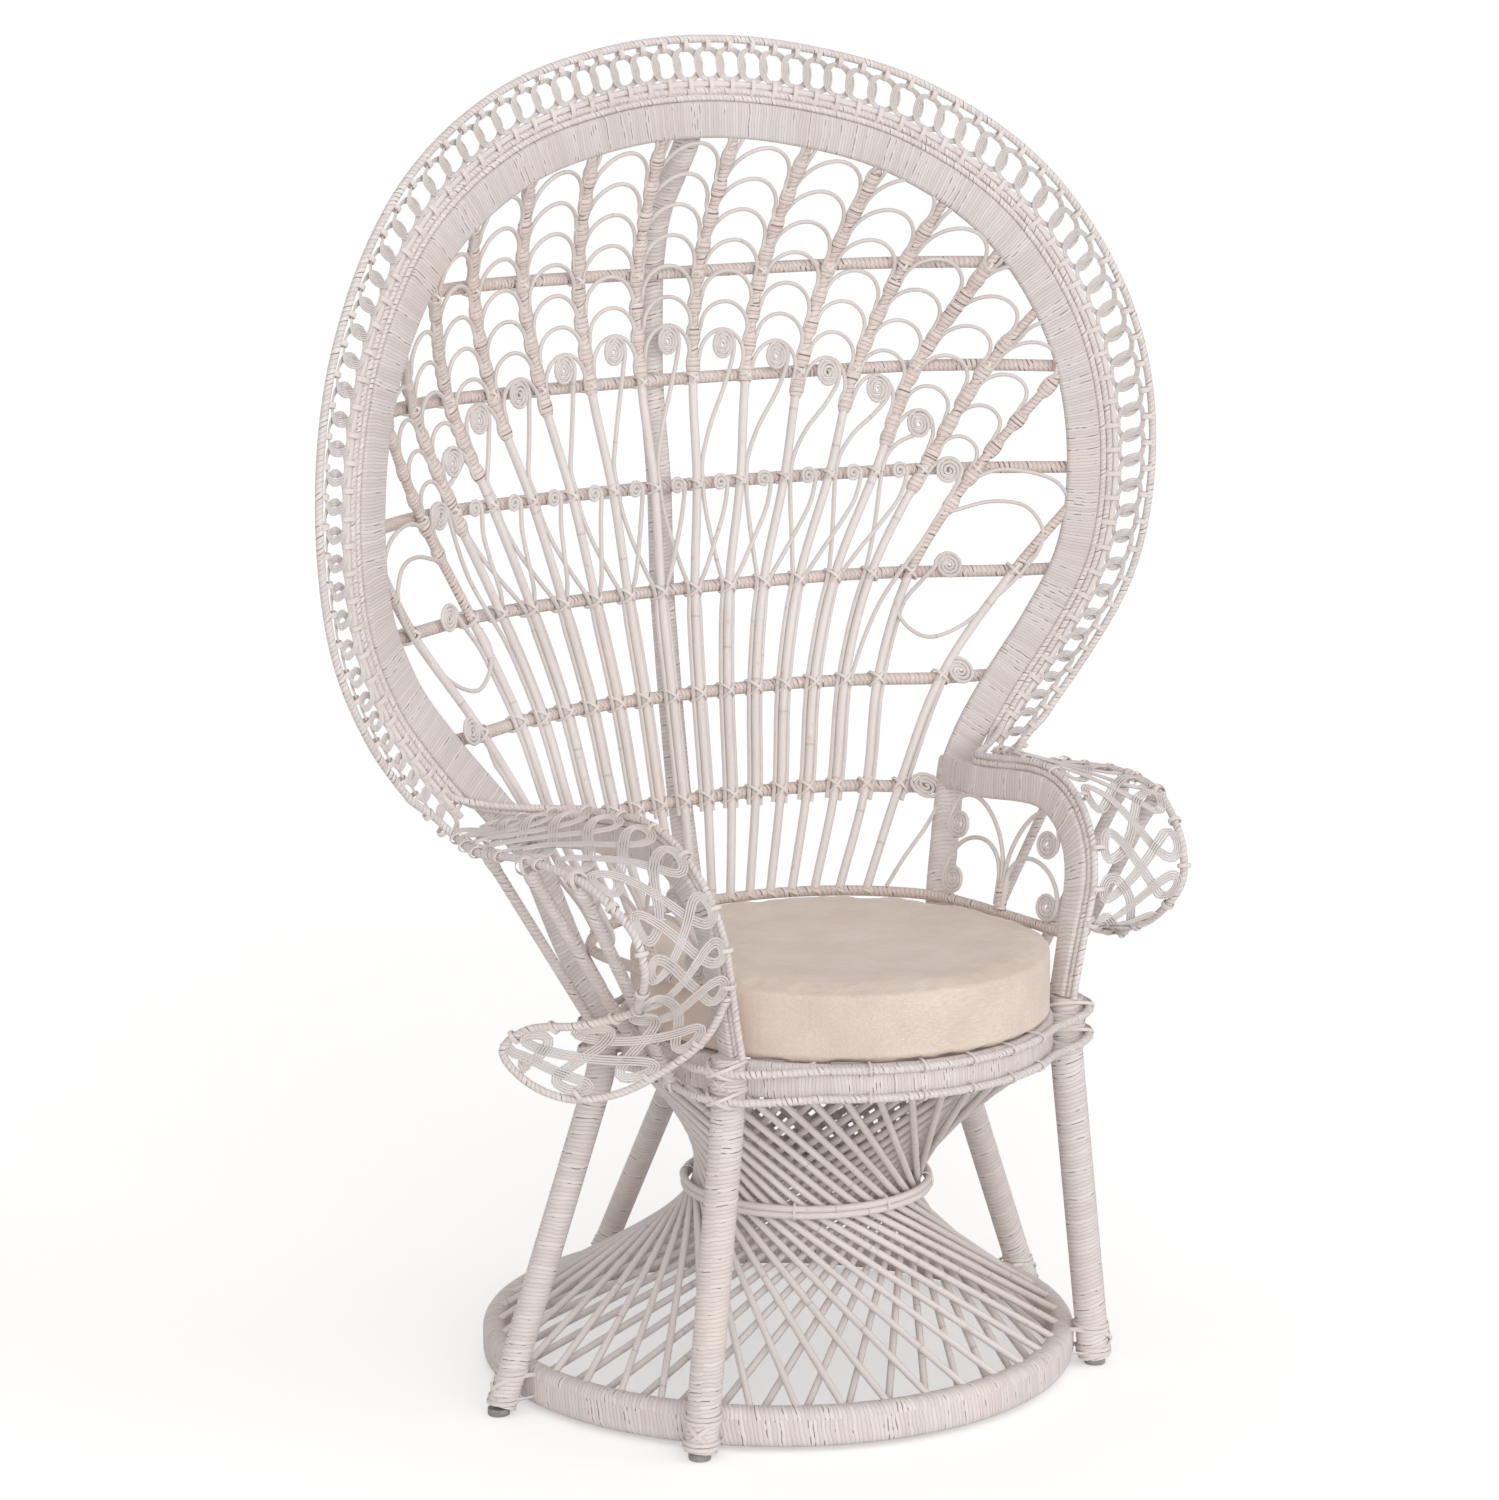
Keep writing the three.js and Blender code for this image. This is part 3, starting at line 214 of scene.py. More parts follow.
# The flare's inner edge, and how its two edges end on each side, in the same shares
FLARE_INNER_SHARES = [
    (0.56, -0.2, 1.04), (0.46, -0.09, 1.07), (0.3, 0.05, 1.11), (0.14, 0.22, 1.14), (0.04, 0.44, 1.14),
    (0.02, 0.69, 1.12), (0.02, 0.93, 1.03), (0.02, 1.12, 0.8), (0.02, 1.16, 0.6), (0.04, 1.15, 0.42),
]
FLARE_INNER_ENDS = {
    1: [(0.2, 1.03, 0.38), (0.5, 0.9, 0.32), (0.85, 0.75, 0.25), (1.2, 0.62, 0.21)],
    -1: [(0.28, 1.01, 0.12), (0.63, 0.84, -0.06), (1.13, 0.66, -0.14), (1.42, 0.5, -0.03)],
}
FLARE_OUTER_ENDS = {
    1: [(1.0, 0.76, 0.25), (1.24, 0.6, 0.21)],
    -1: [(1.37, 0.523, 0.178), (1.52, 0.44, 0.1)],
}
# Where the struts meet the rim, in the same shares, and their feet's places round the seat, in turns
STRUT_SHARES = [(1.02, 0.07, 0.98), (1.1, 0.53, 0.98), (0.98, 0.85, 0.96)]
STRUT_FOOT_TURNS = [18 / 360, -1 / 360, -11 / 360]
# The scrolls under each arm: how far forward and how high, and the top of each one's arch
CURL_PLACES = [(6.0, 577.0, 607.0), (10.0, 516.0, 567.0), (162.0, 580.0, 610.0), (177.0, 514.0, 559.0)]
ARM_CURL_TURNS = 3.2
ARM_CURL_WIDE = 17.5
ARM_CURL_TALL = 15.5
ARM_CURL_STEPS = 49
ARM_REED_INSET = -2.5
POST_FORWARD = 96.0
POST_HEIGHT = 32.0
POST_HALF_WIDTH, POST_HALF_DEPTH = 8.5, 6.0

UP = Vector((0, 0, 1))
BACK = Vector((0, 1, 0))


# Curves

class SmoothCurve:
    """A centripetal Catmull-Rom curve through places, read by its length."""

    def __init__(self, places, samples=40):
        self.places = [Vector(place) for place in places]
        points = []
        last = len(self.places) - 1
        for span in range(last):
            for step in range(samples):
                points.append(self.between(span, step / samples))
        points.append(self.places[-1].copy())
        self.points = points
        lengths = [0.0]
        for before, after in zip(points, points[1:]):
            lengths.append(lengths[-1] + (after - before).length)
        self.lengths = np.array(lengths)
        self.length = lengths[-1]

    def between(self, span, share):
        p = self.places
        p1, p2 = p[span], p[span + 1]
        p0 = p[span - 1] if span > 0 else p1 * 2 - p2
        p3 = p[span + 2] if span + 2 < len(p) else p2 * 2 - p1
        d0 = max((p1 - p0).length, 1e-6) ** 0.5
        d1 = max((p2 - p1).length, 1e-6) ** 0.5
        d2 = max((p3 - p2).length, 1e-6) ** 0.5
        t1 = ((p1 - p0) / d0 - (p2 - p0) / (d0 + d1) + (p2 - p1) / d1) * d1
        t2 = ((p2 - p1) / d1 - (p3 - p1) / (d1 + d2) + (p3 - p2) / d2) * d1
        s = share
        return (
            p1 * (2 * s ** 3 - 3 * s ** 2 + 1) + t1 * (s ** 3 - 2 * s ** 2 + s)
            + p2 * (3 * s ** 2 - 2 * s ** 3) + t2 * (s ** 3 - s ** 2)
        )

    def at(self, share):
        along = min(max(share, 0.0), 1.0) * self.length
        place = min(int(np.searchsorted(self.lengths, along, side="right")) - 1, len(self.points) - 2)
        gap = self.lengths[place + 1] - self.lengths[place]
        return self.points[place].lerp(self.points[place + 1], (along - self.lengths[place]) / gap)

    def spaced(self, steps):
        return [self.at(step / steps) for step in range(steps + 1)]


def smoothstep(low, high, value):
    share = min(max((value - low) / (high - low), 0.0), 1.0)
    return share * share * (3 - 2 * share)


def mix(low, high, share):
    return low + (high - low) * share


def on_circle(centre_y, radius, angle, z):
    return Vector((radius * math.cos(angle), centre_y + radius * math.sin(angle), z))


def flipped(place):
    return Vector((-place.x, place.y, place.z))


# The back's surface

BAR_HEIGHTS = [BAR_FIRST + bar * BAR_SPACING for bar in range(BAR_COUNT)]
ROW_HEIGHTS = [SEAT_HOOP_HEIGHT + SEAT_HOOP_RADIUS, *BAR_HEIGHTS, HOOP_TOP]
HOOP_FOOT_HALF = HOOP_HALF * HOOP_SHARES[-1][0]

half_hoop = [Vector((x * HOOP_HALF, 0, HOOP_FOOT + z * (HOOP_TOP - HOOP_FOOT))) for x, z in HOOP_SHARES]
HOOP_CURVE = SmoothCurve([flipped(place) for place in reversed(half_hoop[1:])] + half_hoop)
HOOP_XZ = np.array([(place.x, place.z) for place in HOOP_CURVE.spaced(480)])
half_seat = [
    Vector((x * SEAT_HOOP_HALF, SEAT_HOOP_BACK - y * SEAT_HOOP_REACH, SEAT_HOOP_HEIGHT))
    for x, y in SEAT_HOOP_SHARES
]
SEAT_HOOP_CURVE = SmoothCurve([flipped(place) for place in reversed(half_seat[1:])] + half_seat)
SEAT_HOOP_XY = np.array([(place.x, place.y) for place in SEAT_HOOP_CURVE.spaced(400) if place.y > 0])


def over_rows(shares, z):
    """Reads a table over the heights of the seat hoop, the bars and the top of the hoop."""
    return float(np.interp(z, ROW_HEIGHTS, shares))


def hoop_depth(x, z):
    """How far back the hoop lies: it wraps forward at its sides and most of all at its feet."""
    low = min(max((HOOP_FOOT_START - z) / (HOOP_FOOT_START - HOOP_FOOT), 0.0), 1.0)
    side = min(1.0, (x / HOOP_FOOT_HALF) ** 4)
    return HOOP_BACK - HOOP_WRAP * (x / HOOP_HALF) ** 2 - HOOP_FOOT_FORWARD * low ** 2 * side


def distance_to_hoop(x, z):
    return float(np.hypot(HOOP_XZ[:, 0] - x, HOOP_XZ[:, 1] - z).min())


def lattice_depth(x, z):
    """How far back the lattice lies: dished, and under the first bar straight down to the seat hoop."""
    inward = max(0.0, distance_to_hoop(x, z) - HOOP_WIDTH / 2)
    fall = 1 - (1 - min(1.0, inward / DISH_RUN)) ** 2
    dished = hoop_depth(x, max(z, BAR_FIRST)) + DISH_DEPTH * over_rows(DISH_SHARES, z) * fall
    if z >= BAR_FIRST:
        return dished
    rise = min(max((z - ROW_HEIGHTS[0]) / (BAR_FIRST - ROW_HEIGHTS[0]), 0.0), 1.0)
    seat = SEAT_HOOP_XY[np.abs(SEAT_HOOP_XY[:, 0] - x).argmin(), 1]
    return mix(seat, lattice_depth(x, BAR_FIRST), rise)


def lattice_normal(x, z, step=3.0):
    across = (lattice_depth(x + step, z) - lattice_depth(x - step, z)) / (2 * step)
    upwards = (lattice_depth(x, z + step) - lattice_depth(x, z - step)) / (2 * step)
    return Vector((-across, 1, -upwards)).normalized()


def on_lattice(x, z, forward=0.0):
    return Vector((x, lattice_depth(x, z), z)) - lattice_normal(x, z) * forward


def rib_x(place, z):
    """How far to the side a rib stands at a height; the outermost ones lean out more."""
    flare = 0.0
    if abs(place) > RIBS_PER_SIDE - 1:
        flare = math.copysign(OUTER_RIB_FLARE, place) * smoothstep(BAR_FIRST, BAR_FIRST + 2 * BAR_SPACING, z)
    return place * RIB_PITCH_TOP * over_rows(RIB_PITCH_SHARES, z) + flare


# Stations: a centre, a direction across and one through the thickness

def stations_through(places, facing):
    stations = []
    previous = None
    last = len(places) - 1
    for number, centre in enumerate(places):
        along = (places[min(last, number + 1)] - places[max(0, number - 1)]).normalized()
        aim = facing(centre, previous) if callable(facing) else facing
        across = along.cross(aim).normalized()
        previous = across.cross(along)
        stations.append((centre, across, previous))
    return stations


def flip(stations):
    return [(flipped(centre), flipped(across), flipped(through)) for centre, across, through in stations]


def on_side(stations, side):
    return stations if side > 0 else flip(stations)


def strips_on_side(strips, side):
    """The strips as they are, or flipped to the chair's other side."""
    return [strip(on_side(one["stations"], side), one["section"], one["closed"]) for one in strips]


def hoop_station(share, outward=0.0):
    here = HOOP_CURVE.at(share)
    step = 0.002
    sheet = []
    for place in (HOOP_CURVE.at(share - step), HOOP_CURVE.at(share + step)):
        sheet.append(Vector((place.x, hoop_depth(place.x, place.z), place.z)))
    along = (sheet[1] - sheet[0]).normalized()
    slope = (hoop_depth(here.x + 1, here.z) - hoop_depth(here.x - 1, here.z)) / 2
    through = Vector((-slope, 1, 0)).normalized()
    across = along.cross(through).normalized()
    centre = Vector((here.x, hoop_depth(here.x, here.z), here.z)) + across * outward
    return centre, across, through


def hoop_stations(start, end, steps, outward=0.0):
    stations = []
    for step in range(steps + 1):
        share = mix(start, end, step / steps)
        stations.append(hoop_station(share, outward(share) if callable(outward) else outward))
    return stations


# Sections and strips

def round_section(radius, sides=10):
    return [
        (radius * math.cos(math.tau * side / sides), radius * math.sin(math.tau * side / sides))
        for side in range(sides)
    ]


def flat_section(width, thickness, corner_steps=3):
    """A band's section with rounded edges, from a corner radius of nearly half its thickness."""
    radius = min(width, thickness) * 0.42
    corners = []
    for quarter, (sign_x, sign_y) in enumerate([(1, 1), (-1, 1), (-1, -1), (1, -1)]):
        for step in range(corner_steps + 1):
            angle = math.tau / 4 * (quarter + step / corner_steps)
            corners.append((
                sign_x * (width / 2 - radius) + radius * math.cos(angle),
                sign_y * (thickness / 2 - radius) + radius * math.sin(angle),
            ))
    return corners


def strip(stations, section, closed=False):
    return {"stations": stations, "section": section, "closed": closed}


def swept_mesh(name, strips):
    """Lofts each section along its stations; the map holds millimetres round and along, for the windings."""
    vertices, faces, lay = [], [], []
    for number, one in enumerate(strips):
        stations, section, closed = one["stations"], one["section"], one["closed"]
        corners = len(section)
        first = len(vertices)
        rounds = [0.0]
        for here, there in zip(section, section[1:] + section[:1]):
            rounds.append(rounds[-1] + math.dist(here, there))
        # Each strip's winding starts at another place
        start = (number * 37.7) % 900
        alongs = [start]
        for before, after in zip(stations, stations[1:]):
            alongs.append(alongs[-1] + (after[0] - before[0]).length)
        if closed:
            alongs.append(alongs[-1] + (stations[0][0] - stations[-1][0]).length)
        for centre, across, through in stations:
            for x, y in section:
                place = centre + across * x + through * y
                vertices.append((place.x * MM, (place.y + FRAME_SHIFT) * MM, place.z * MM))
        spans = len(stations) if closed else len(stations) - 1
        for span in range(spans):
            here = first + span * corners
            there = first + ((span + 1) % len(stations)) * corners
            for corner in range(corners):
                following = (corner + 1) % corners
                faces.append((here + corner, here + following, there + following, there + corner))
                lay += [
                    (rounds[corner], alongs[span]), (rounds[corner + 1], alongs[span]),
                    (rounds[corner + 1], alongs[span + 1]), (rounds[corner], alongs[span + 1]),
                ]
        if not closed:
            end = first + (len(stations) - 1) * corners
            faces.append(tuple(first + corner for corner in reversed(range(corners))))
            lay += [(0.0, alongs[0])] * corners
            faces.append(tuple(end + corner for corner in range(corners)))
            lay += [(0.0, alongs[-1])] * corners
    mesh = bpy.data.meshes.new(name)
    mesh.from_pydata(vertices, [], faces)
    layer = mesh.uv_layers.new(name="lay")
    layer.data.foreach_set("uv", np.array(lay, np.float32).ravel())
    return mesh


def finish_piece(obj, material, nodes=(), angle=math.radians(50)):
    """Turns the faces outwards, smooths them and hangs the piece on the chair."""
    bpy.ops.object.select_all(action="DESELECT")
    obj.select_set(True)
    bpy.context.view_layer.objects.active = obj
    bpy.ops.object.mode_set(mode="EDIT")
    bpy.ops.mesh.select_all(action="SELECT")
    bpy.ops.mesh.normals_make_consistent(inside=False)
    bpy.ops.object.mode_set(mode="OBJECT")
    bpy.ops.object.shade_smooth_by_angle(angle=angle)
    obj.data.materials.clear()
    obj.data.materials.append(material)
    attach(obj, "root")
    for node in nodes:
        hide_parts(node)
    return obj


def swept_piece(name, strips, material, nodes=()):
    obj = bpy.data.objects.new(name, swept_mesh(name, strips))
    bpy.context.scene.collection.objects.link(obj)
    return finish_piece(obj, material, nodes)


# Materials

# The kinds of node that most finishes use, and the settings that go with them
MATH, MIX, RANGE = "ShaderNodeMath", "ShaderNodeMix", "ShaderNodeMapRange"
NOISE, LUCK, JOIN = "ShaderNodeTexNoise", "ShaderNodeTexWhiteNoise", "ShaderNodeCombineXYZ"
SMOOTH = {"interpolation_type": "SMOOTHSTEP"}
COLOURED = {"data_type": "RGBA", "output": 2}


def linear_colour(hex_value):
    """Turns an sRGB hex value to the linear colour that a shader reads."""
    channels = [int(hex_value[place:place + 2], 16) / 255 for place in (1, 3, 5)]
    straight = [c / 12.92 if c <= 0.04045 else ((c + 0.055) / 1.055) ** 2.4 for c in channels]
    return (*straight, 1.0)


def add_node(tree, kind, inputs=(), output=0, **settings):
    """Adds a node with its settings and its linked or fixed inputs, and gives one of its outputs."""
    made = tree.nodes.new(kind)
    for name, value in settings.items():
        setattr(made, name, value)
    for socket, value in inputs.items() if isinstance(inputs, dict) else enumerate(inputs):
        if isinstance(value, bpy.types.NodeSocket):
            tree.links.new(value, made.inputs[socket])
        else:
            made.inputs[socket].default_value = value
    return made.outputs[output]


def set_shader(material, **values):
    """Sets even values on the shader's own sockets."""
    for socket, value in values.items():
        material.node_tree.nodes["Principled BSDF"].inputs[socket.replace("_", " ")].default_value = value


def blank_material(name, roughness, specular=0.4):
    """A material of an even roughness and the function that adds nodes to it."""
    material = bpy.data.materials.new(name)
    material.use_nodes = True
    set_shader(material, Roughness=roughness, Specular_IOR_Level=specular)
    return material, partial(add_node, material.node_tree)


def dressed(material, colour, height, strength, distance):
    """Gives the material its colour and its relief, whose distance is in metres."""
    tree = material.node_tree
    shader = tree.nodes["Principled BSDF"]
    bump = add_node(tree, "ShaderNodeBump", {"Strength": strength, "Distance": distance, "Height": height})
    tree.links.new(colour, shader.inputs["Base Color"])
    tree.links.new(bump, shader.inputs["Normal"])
    return material


def lay_parts(add):
    """The millimetres round and along a cane, and the place on the whole chair."""
    around = add("ShaderNodeSeparateXYZ", [add("ShaderNodeUVMap", uv_map="lay")])
    return around, around.node.outputs[1], add("ShaderNodeTexCoord", output="Object")


def washed_colour(add, place, fleck, colours):
    """Limewash over cane: pale and shaded patches, and a blush where the cane shows through."""
    patches = add(NOISE, {"Vector": place, "Scale": 9.0, "Detail": 3.0})
    patched = add(MATH, (patches, 0.5), operation="MULTIPLY")
    tone = add(MATH, (fleck, 0.55, patched), operation="MULTIPLY_ADD")
    paleness = add(RANGE, (tone, 0.2, 0.85), **SMOOTH)
    washed = add(MIX, {0: paleness, 6: colours["shade"], 7: colours["pale"]}, **COLOURED)
    bare = add(NOISE, {"Vector": place, "Scale": 5.5})
    warmth = add(RANGE, (bare, 0.56, 0.74, 0.0, 0.6), **SMOOTH)
    return add(MIX, {0: warmth, 6: washed, 7: colours["blush"]}, **COLOURED)


def wound_peel(name, colours, width, gap, wide_gap, wide_share, slant, relief):
    """Cane peel wound over a core by hand and limewashed.

    It gives rows of shallow ridges a peel's width apart, thin gaps between them and a few wide ones, painted
    dark as the shade that falls into them.
    The gaps are shares of the peel's width.
    """
    material, add = blank_material(name, 0.62)
    around, along, place = lay_parts(add)
    drift = add(NOISE, {"Vector": add(JOIN, (around, along)), "Scale": 0.035})
    slanted = add(MATH, (around, slant, along), operation="MULTIPLY_ADD")
    drifted = add(MATH, (drift, width * 1.6, slanted), operation="MULTIPLY_ADD")
    turn = add(MATH, (drifted, width), operation="DIVIDE")
    nearest = add(MATH, [turn], operation="ROUND")
    away = add(MATH, [add(MATH, (turn, nearest), operation="SUBTRACT")], operation="ABSOLUTE")
    # Where a gap between two turns opens: by luck, and over a part of the way round
    luck = add(LUCK, {"W": nearest}, noise_dimensions="1D")
    stretch = add(JOIN, (add(MATH, (around, 0.07), operation="MULTIPLY"), nearest))
    ragged = add(NOISE, {"Vector": stretch, "Scale": 1.0, "Detail": 1.0})
    lucky = add(MATH, (luck, 0.55), operation="MULTIPLY")
    chance = add(MATH, (ragged, 0.9, lucky), operation="MULTIPLY_ADD")
    opening = add(RANGE, (chance, 1.0 - wide_share, 1.08 - wide_share, gap, wide_gap), **SMOOTH)
    peel = add(RANGE, (away, 0.0, opening), **SMOOTH)
    # Each turn has its own tone, and fibres run along the peel
    tone = add(LUCK, {"W": add(MATH, [turn], operation="FLOOR")}, noise_dimensions="1D")
    round_fibre = add(MATH, (around, 0.09), operation="MULTIPLY")
    along_fibre = add(MATH, (along, 1.3), operation="MULTIPLY")
    fibre = add(NOISE, {"Vector": add(JOIN, (round_fibre, along_fibre)), "Scale": 1.0})
    half_fibre = add(MATH, (fibre, 0.5), operation="MULTIPLY")
    fleck = add(MATH, (tone, 0.5, half_fibre), operation="MULTIPLY_ADD")
    washed = washed_colour(add, place, fleck, colours)
    # The seam and gap colours in the gaps between turns are painted shade, darker where a gap is wider
    deep = add(RANGE, (opening, gap, wide_gap), **SMOOTH)
    seam = add(MIX, {0: deep, 6: colours["seam"], 7: colours["gap"]}, **COLOURED)
    colour = add(MIX, {0: peel, 6: seam, 7: washed}, **COLOURED)
    crown = add(MATH, (away, add(MATH, (1.0, away), operation="SUBTRACT")), operation="MULTIPLY")
    ridge = add(MATH, (peel, 0.6), operation="MULTIPLY")
    raised = add(MATH, (crown, 3.0, ridge), operation="MULTIPLY_ADD")
    grained = add(MATH, (fibre, 0.25, raised), operation="MULTIPLY_ADD")
    return dressed(material, colour, grained, 0.8, relief)


def smooth_cane(name, colours, grain, joint_spacing):
    """Whole rattan or reed, sanded and limewashed.

    It gives long fibre streaks, a low ring at each joint of the cane and spots where the wash is thin.
    """
    material, add = blank_material(name, 0.55)
    around, along, place = lay_parts(add)
    across_grain = add(MATH, (around, grain), operation="DIVIDE")
    along_grain = add(MATH, (along, 0.02), operation="MULTIPLY")
    drawn = add(JOIN, (across_grain, along_grain))
    streak = add(NOISE, {"Vector": drawn, "Scale": 1.0, "Detail": 3.0, "Roughness": 0.6})
    washed = washed_colour(add, place, streak, colours)
    spots = add(NOISE, {"Vector": place, "Scale": 70.0, "Detail": 3.0, "Roughness": 0.6})
    thin = add(RANGE, (spots, 0.63, 0.72, 0.0, 0.55), **SMOOTH)
    worn = add(MIX, {0: thin, 6: washed, 7: colours["worn"]}, **COLOURED)
    step = add(MATH, (along, joint_spacing), operation="DIVIDE")
    nearest = add(MATH, [step], operation="ROUND")
    from_joint = add(MATH, [add(MATH, (step, nearest), operation="SUBTRACT")], operation="ABSOLUTE")
    joint = add(RANGE, (from_joint, 0.0, 2.4 / joint_spacing, 1.0, 0.0), **SMOOTH)
    dark_joint = add(MATH, (joint, 0.45), operation="MULTIPLY")
    ringed = add(MIX, {0: dark_joint, 6: worn, 7: colours["seam"]}, **COLOURED)
    height = add(MATH, (joint, 1.2, streak), operation="MULTIPLY_ADD")
    return dressed(material, ringed, height, 0.5, 0.0003)


def woven_cotton(name, colour):
    """Plain-woven cotton canvas, washed: a fine even weave, slubs and soft unevenness.

    The real threads, about 0.5 mm apart, are too fine to show, so the weave is drawn as waves 7.5 mm apart.
    """
    material, add = blank_material(name, 0.9, 0.2)
    set_shader(material, Sheen_Weight=0.25, Sheen_Roughness=0.5)
    place = add("ShaderNodeTexCoord", output="Object")
    # A wave texture turns by 20 radians for each unit of its scale
    scale = 1 / COTTON_RADIAN / MM / 20
    wave = {"Vector": place, "Scale": scale, "Distortion": 0.6, "Detail": 1.0, "Detail Scale": 2.0}
    waves = [
        add("ShaderNodeTexWave", wave, wave_type="BANDS", bands_direction=direction) for direction in "XYZ"
    ]
    weave = add(MATH, (add(MATH, waves[:2], operation="ADD"), waves[2]), operation="ADD")
    drawn = add("ShaderNodeMapping", {"Vector": place, "Scale": (60.0, 900.0, 500.0)})
    slub = add(NOISE, {"Vector": drawn, "Scale": 1.0})
    cloud = add(NOISE, {"Vector": place, "Scale": 14.0, "Detail": 3.0})
    half_cloud = add(MATH, (cloud, 0.5), operation="MULTIPLY")
    tone = add(MATH, (slub, 0.5, half_cloud), operation="MULTIPLY_ADD")
    lightness = add(RANGE, (tone, 0.3, 0.7), **SMOOTH)
    cloth = add(
        MIX, {0: lightness, 6: linear_colour(COTTON_SHADE), 7: linear_colour(COTTON_LIGHT)}, **COLOURED,
    )
    threads = add(RANGE, (weave, 0.6, 2.4, 0.0, 0.35), **SMOOTH)
    height = add(MATH, (weave, 0.3, slub), operation="MULTIPLY_ADD")
    return dressed(material, add(MIX, {0: threads, 6: cloth, 7: colour}, **COLOURED), height, 0.35, 0.0005)


def moulded_plastic(name):
    """Moulded polyethylene feet: a fine satin grain with scuffs from the floor."""
    material, add = blank_material(name, 0.5, 0.5)
    place = add("ShaderNodeTexCoord", output="Object")
    patches = add(NOISE, {"Vector": place, "Scale": 160.0, "Detail": 4.0, "Roughness": 0.7})
    scuffs = add(RANGE, (patches, 0.45, 0.65), **SMOOTH)
    colour = add(
        MIX, {0: scuffs, 6: linear_colour(PLASTIC_COLOUR), 7: linear_colour(PLASTIC_SCUFF)}, **COLOURED,
    )
    return dressed(material, colour, add(NOISE, {"Vector": place, "Scale": 2500.0}), 0.15, 0.0002)


def split_cane(name, colours):
    """Split and planed cane slats: straight grain along each slat."""
    material, add = blank_material(name, 0.6)
    place = add("ShaderNodeTexCoord", output="Object")
    drawn = add("ShaderNodeMapping", {"Vector": place, "Scale": (9.0, 420.0, 420.0)})
    grain = add(NOISE, {"Vector": drawn, "Scale": 1.0, "Detail": 3.0, "Roughness": 0.6})
    return dressed(material, washed_colour(add, place, grain, colours), grain, 0.4, 0.0004)


# Colours and sizes of the finishes

# In the wound sets the seam and gap colours are painted shade for the gaps between turns of peel; in the bare
# canes the seam is the colour of their joints
CHAIR_COLOURS = {
    # The hoop's set is the wound set darkened all over: painted shade for the dimmer light that falls on the
    # hoop
    "hoop": {"pale": "#E1DAD7", "shade": "#CDC2BF", "blush": "#DECEC7", "seam": "#B6A9A3", "gap": "#796A64"},
    "wound": {"pale": "#EDE6E3", "shade": "#D8CDCA", "blush": "#E9D8D0", "seam": "#BFB1AB", "gap": "#80706A"},
    "bar": {"pale": "#EADCD6", "shade": "#D5C6C0", "blush": "#E7D1C8", "seam": "#B8A8A0", "gap": "#7D6D66"},
    "cane": {"pale": "#EBE4E1", "shade": "#D8CECA", "blush": "#E7D8D0", "seam": "#B3A59E", "worn": "#CFBBAE"},
    "reed": {"pale": "#E3DCD9", "shade": "#CDC5C1", "blush": "#E0D2CB", "seam": "#AFA39C", "worn": "#C9BAAE"},
    "peel": {"pale": "#EDE5E1", "shade": "#D8CCC7", "blush": "#E9D7CE", "seam": "#BBADA6", "worn": "#D3C0B4"},
}
COTTON_SHADE, COTTON_LIGHT = "#D6C4B5", "#EBDCD0"
# Millimetres of cloth to a radian of its waves, which so lie 7.5 mm apart
COTTON_RADIAN = 1.2
PLASTIC_COLOUR, PLASTIC_SCUFF = "#8D8B8A", "#A3A09E"
# A winding's name, colours and width setting, its gap, wide gap and share of wide gaps, its slant and relief
WOUND_FINISHES = {
    # The hoop's winding is the band's peel in the darker hoop colours, which paint shade on it
    "hoop": ("limewashed_peel_close_wound", "hoop", "hoop_peel", 0.07, 0.24, 0.07, 0.05, 0.0004),
    "band": ("limewashed_peel_wound_band", "wound", "hoop_peel", 0.07, 0.24, 0.07, 0.05, 0.0004),
    "pole": ("limewashed_peel_wound_pole", "wound", "pole_peel", 0.05, 0.2, 0.08, 0.16, 0.0006),
    "bar": ("limewashed_peel_wound_bar", "bar", "bar_peel", 0.06, 0.24, 0.12, 0.3, 0.0009),
    "rim": ("limewashed_peel_wound_rim", "wound", "rim_peel", 0.05, 0.16, 0.12, 0.45, 0.0007),
}
# A bare cane's name, the width of its grain and the distance between its joints, in millimetres
CANE_FINISHES = {
    "cane": ("limewashed_rattan_cane", 2.6, 310.0),
    "reed": ("limewashed_reed_core", 1.6, 500.0),
    "peel": ("limewashed_peel_lashing", 1.2, 800.0),
}
FINISHES = {}


def cane_colours(kind):
    return {part: linear_colour(value) for part, value in CHAIR_COLOURS[kind].items()}


def make_finish(kind):
    """Makes the material of a finish from its table row and the settings."""
    settings = bpy.context.scene.peacock_finish
    if kind in WOUND_FINISHES:
        name, colours, width, *sizes = WOUND_FINISHES[kind]
        return wound_peel(name, cane_colours(colours), getattr(settings, width), *sizes)
    if kind in CANE_FINISHES:
        name, grain, joint_spacing = CANE_FINISHES[kind]
        return smooth_cane(name, cane_colours(kind), grain, joint_spacing)
    if kind == "slat":
        return split_cane("limewashed_split_cane", cane_colours("cane"))
    if kind == "cotton":
        return woven_cotton("washed_cotton_canvas", tuple(settings.cotton))
    return moulded_plastic("moulded_polyethylene")


def finish(kind):
    """Makes each finish once and hands it to every piece that has it."""
    if kind not in FINISHES:
        FINISHES[kind] = make_finish(kind)
    return FINISHES[kind]


# Shared shapes of the frame

def corner_radius(radius, sides):
    return radius * math.sqrt(math.tau / (sides * math.sin(math.tau / sides)))


def flat_radius(radius, sides):
    return corner_radius(radius, sides) * math.cos(math.pi / sides)


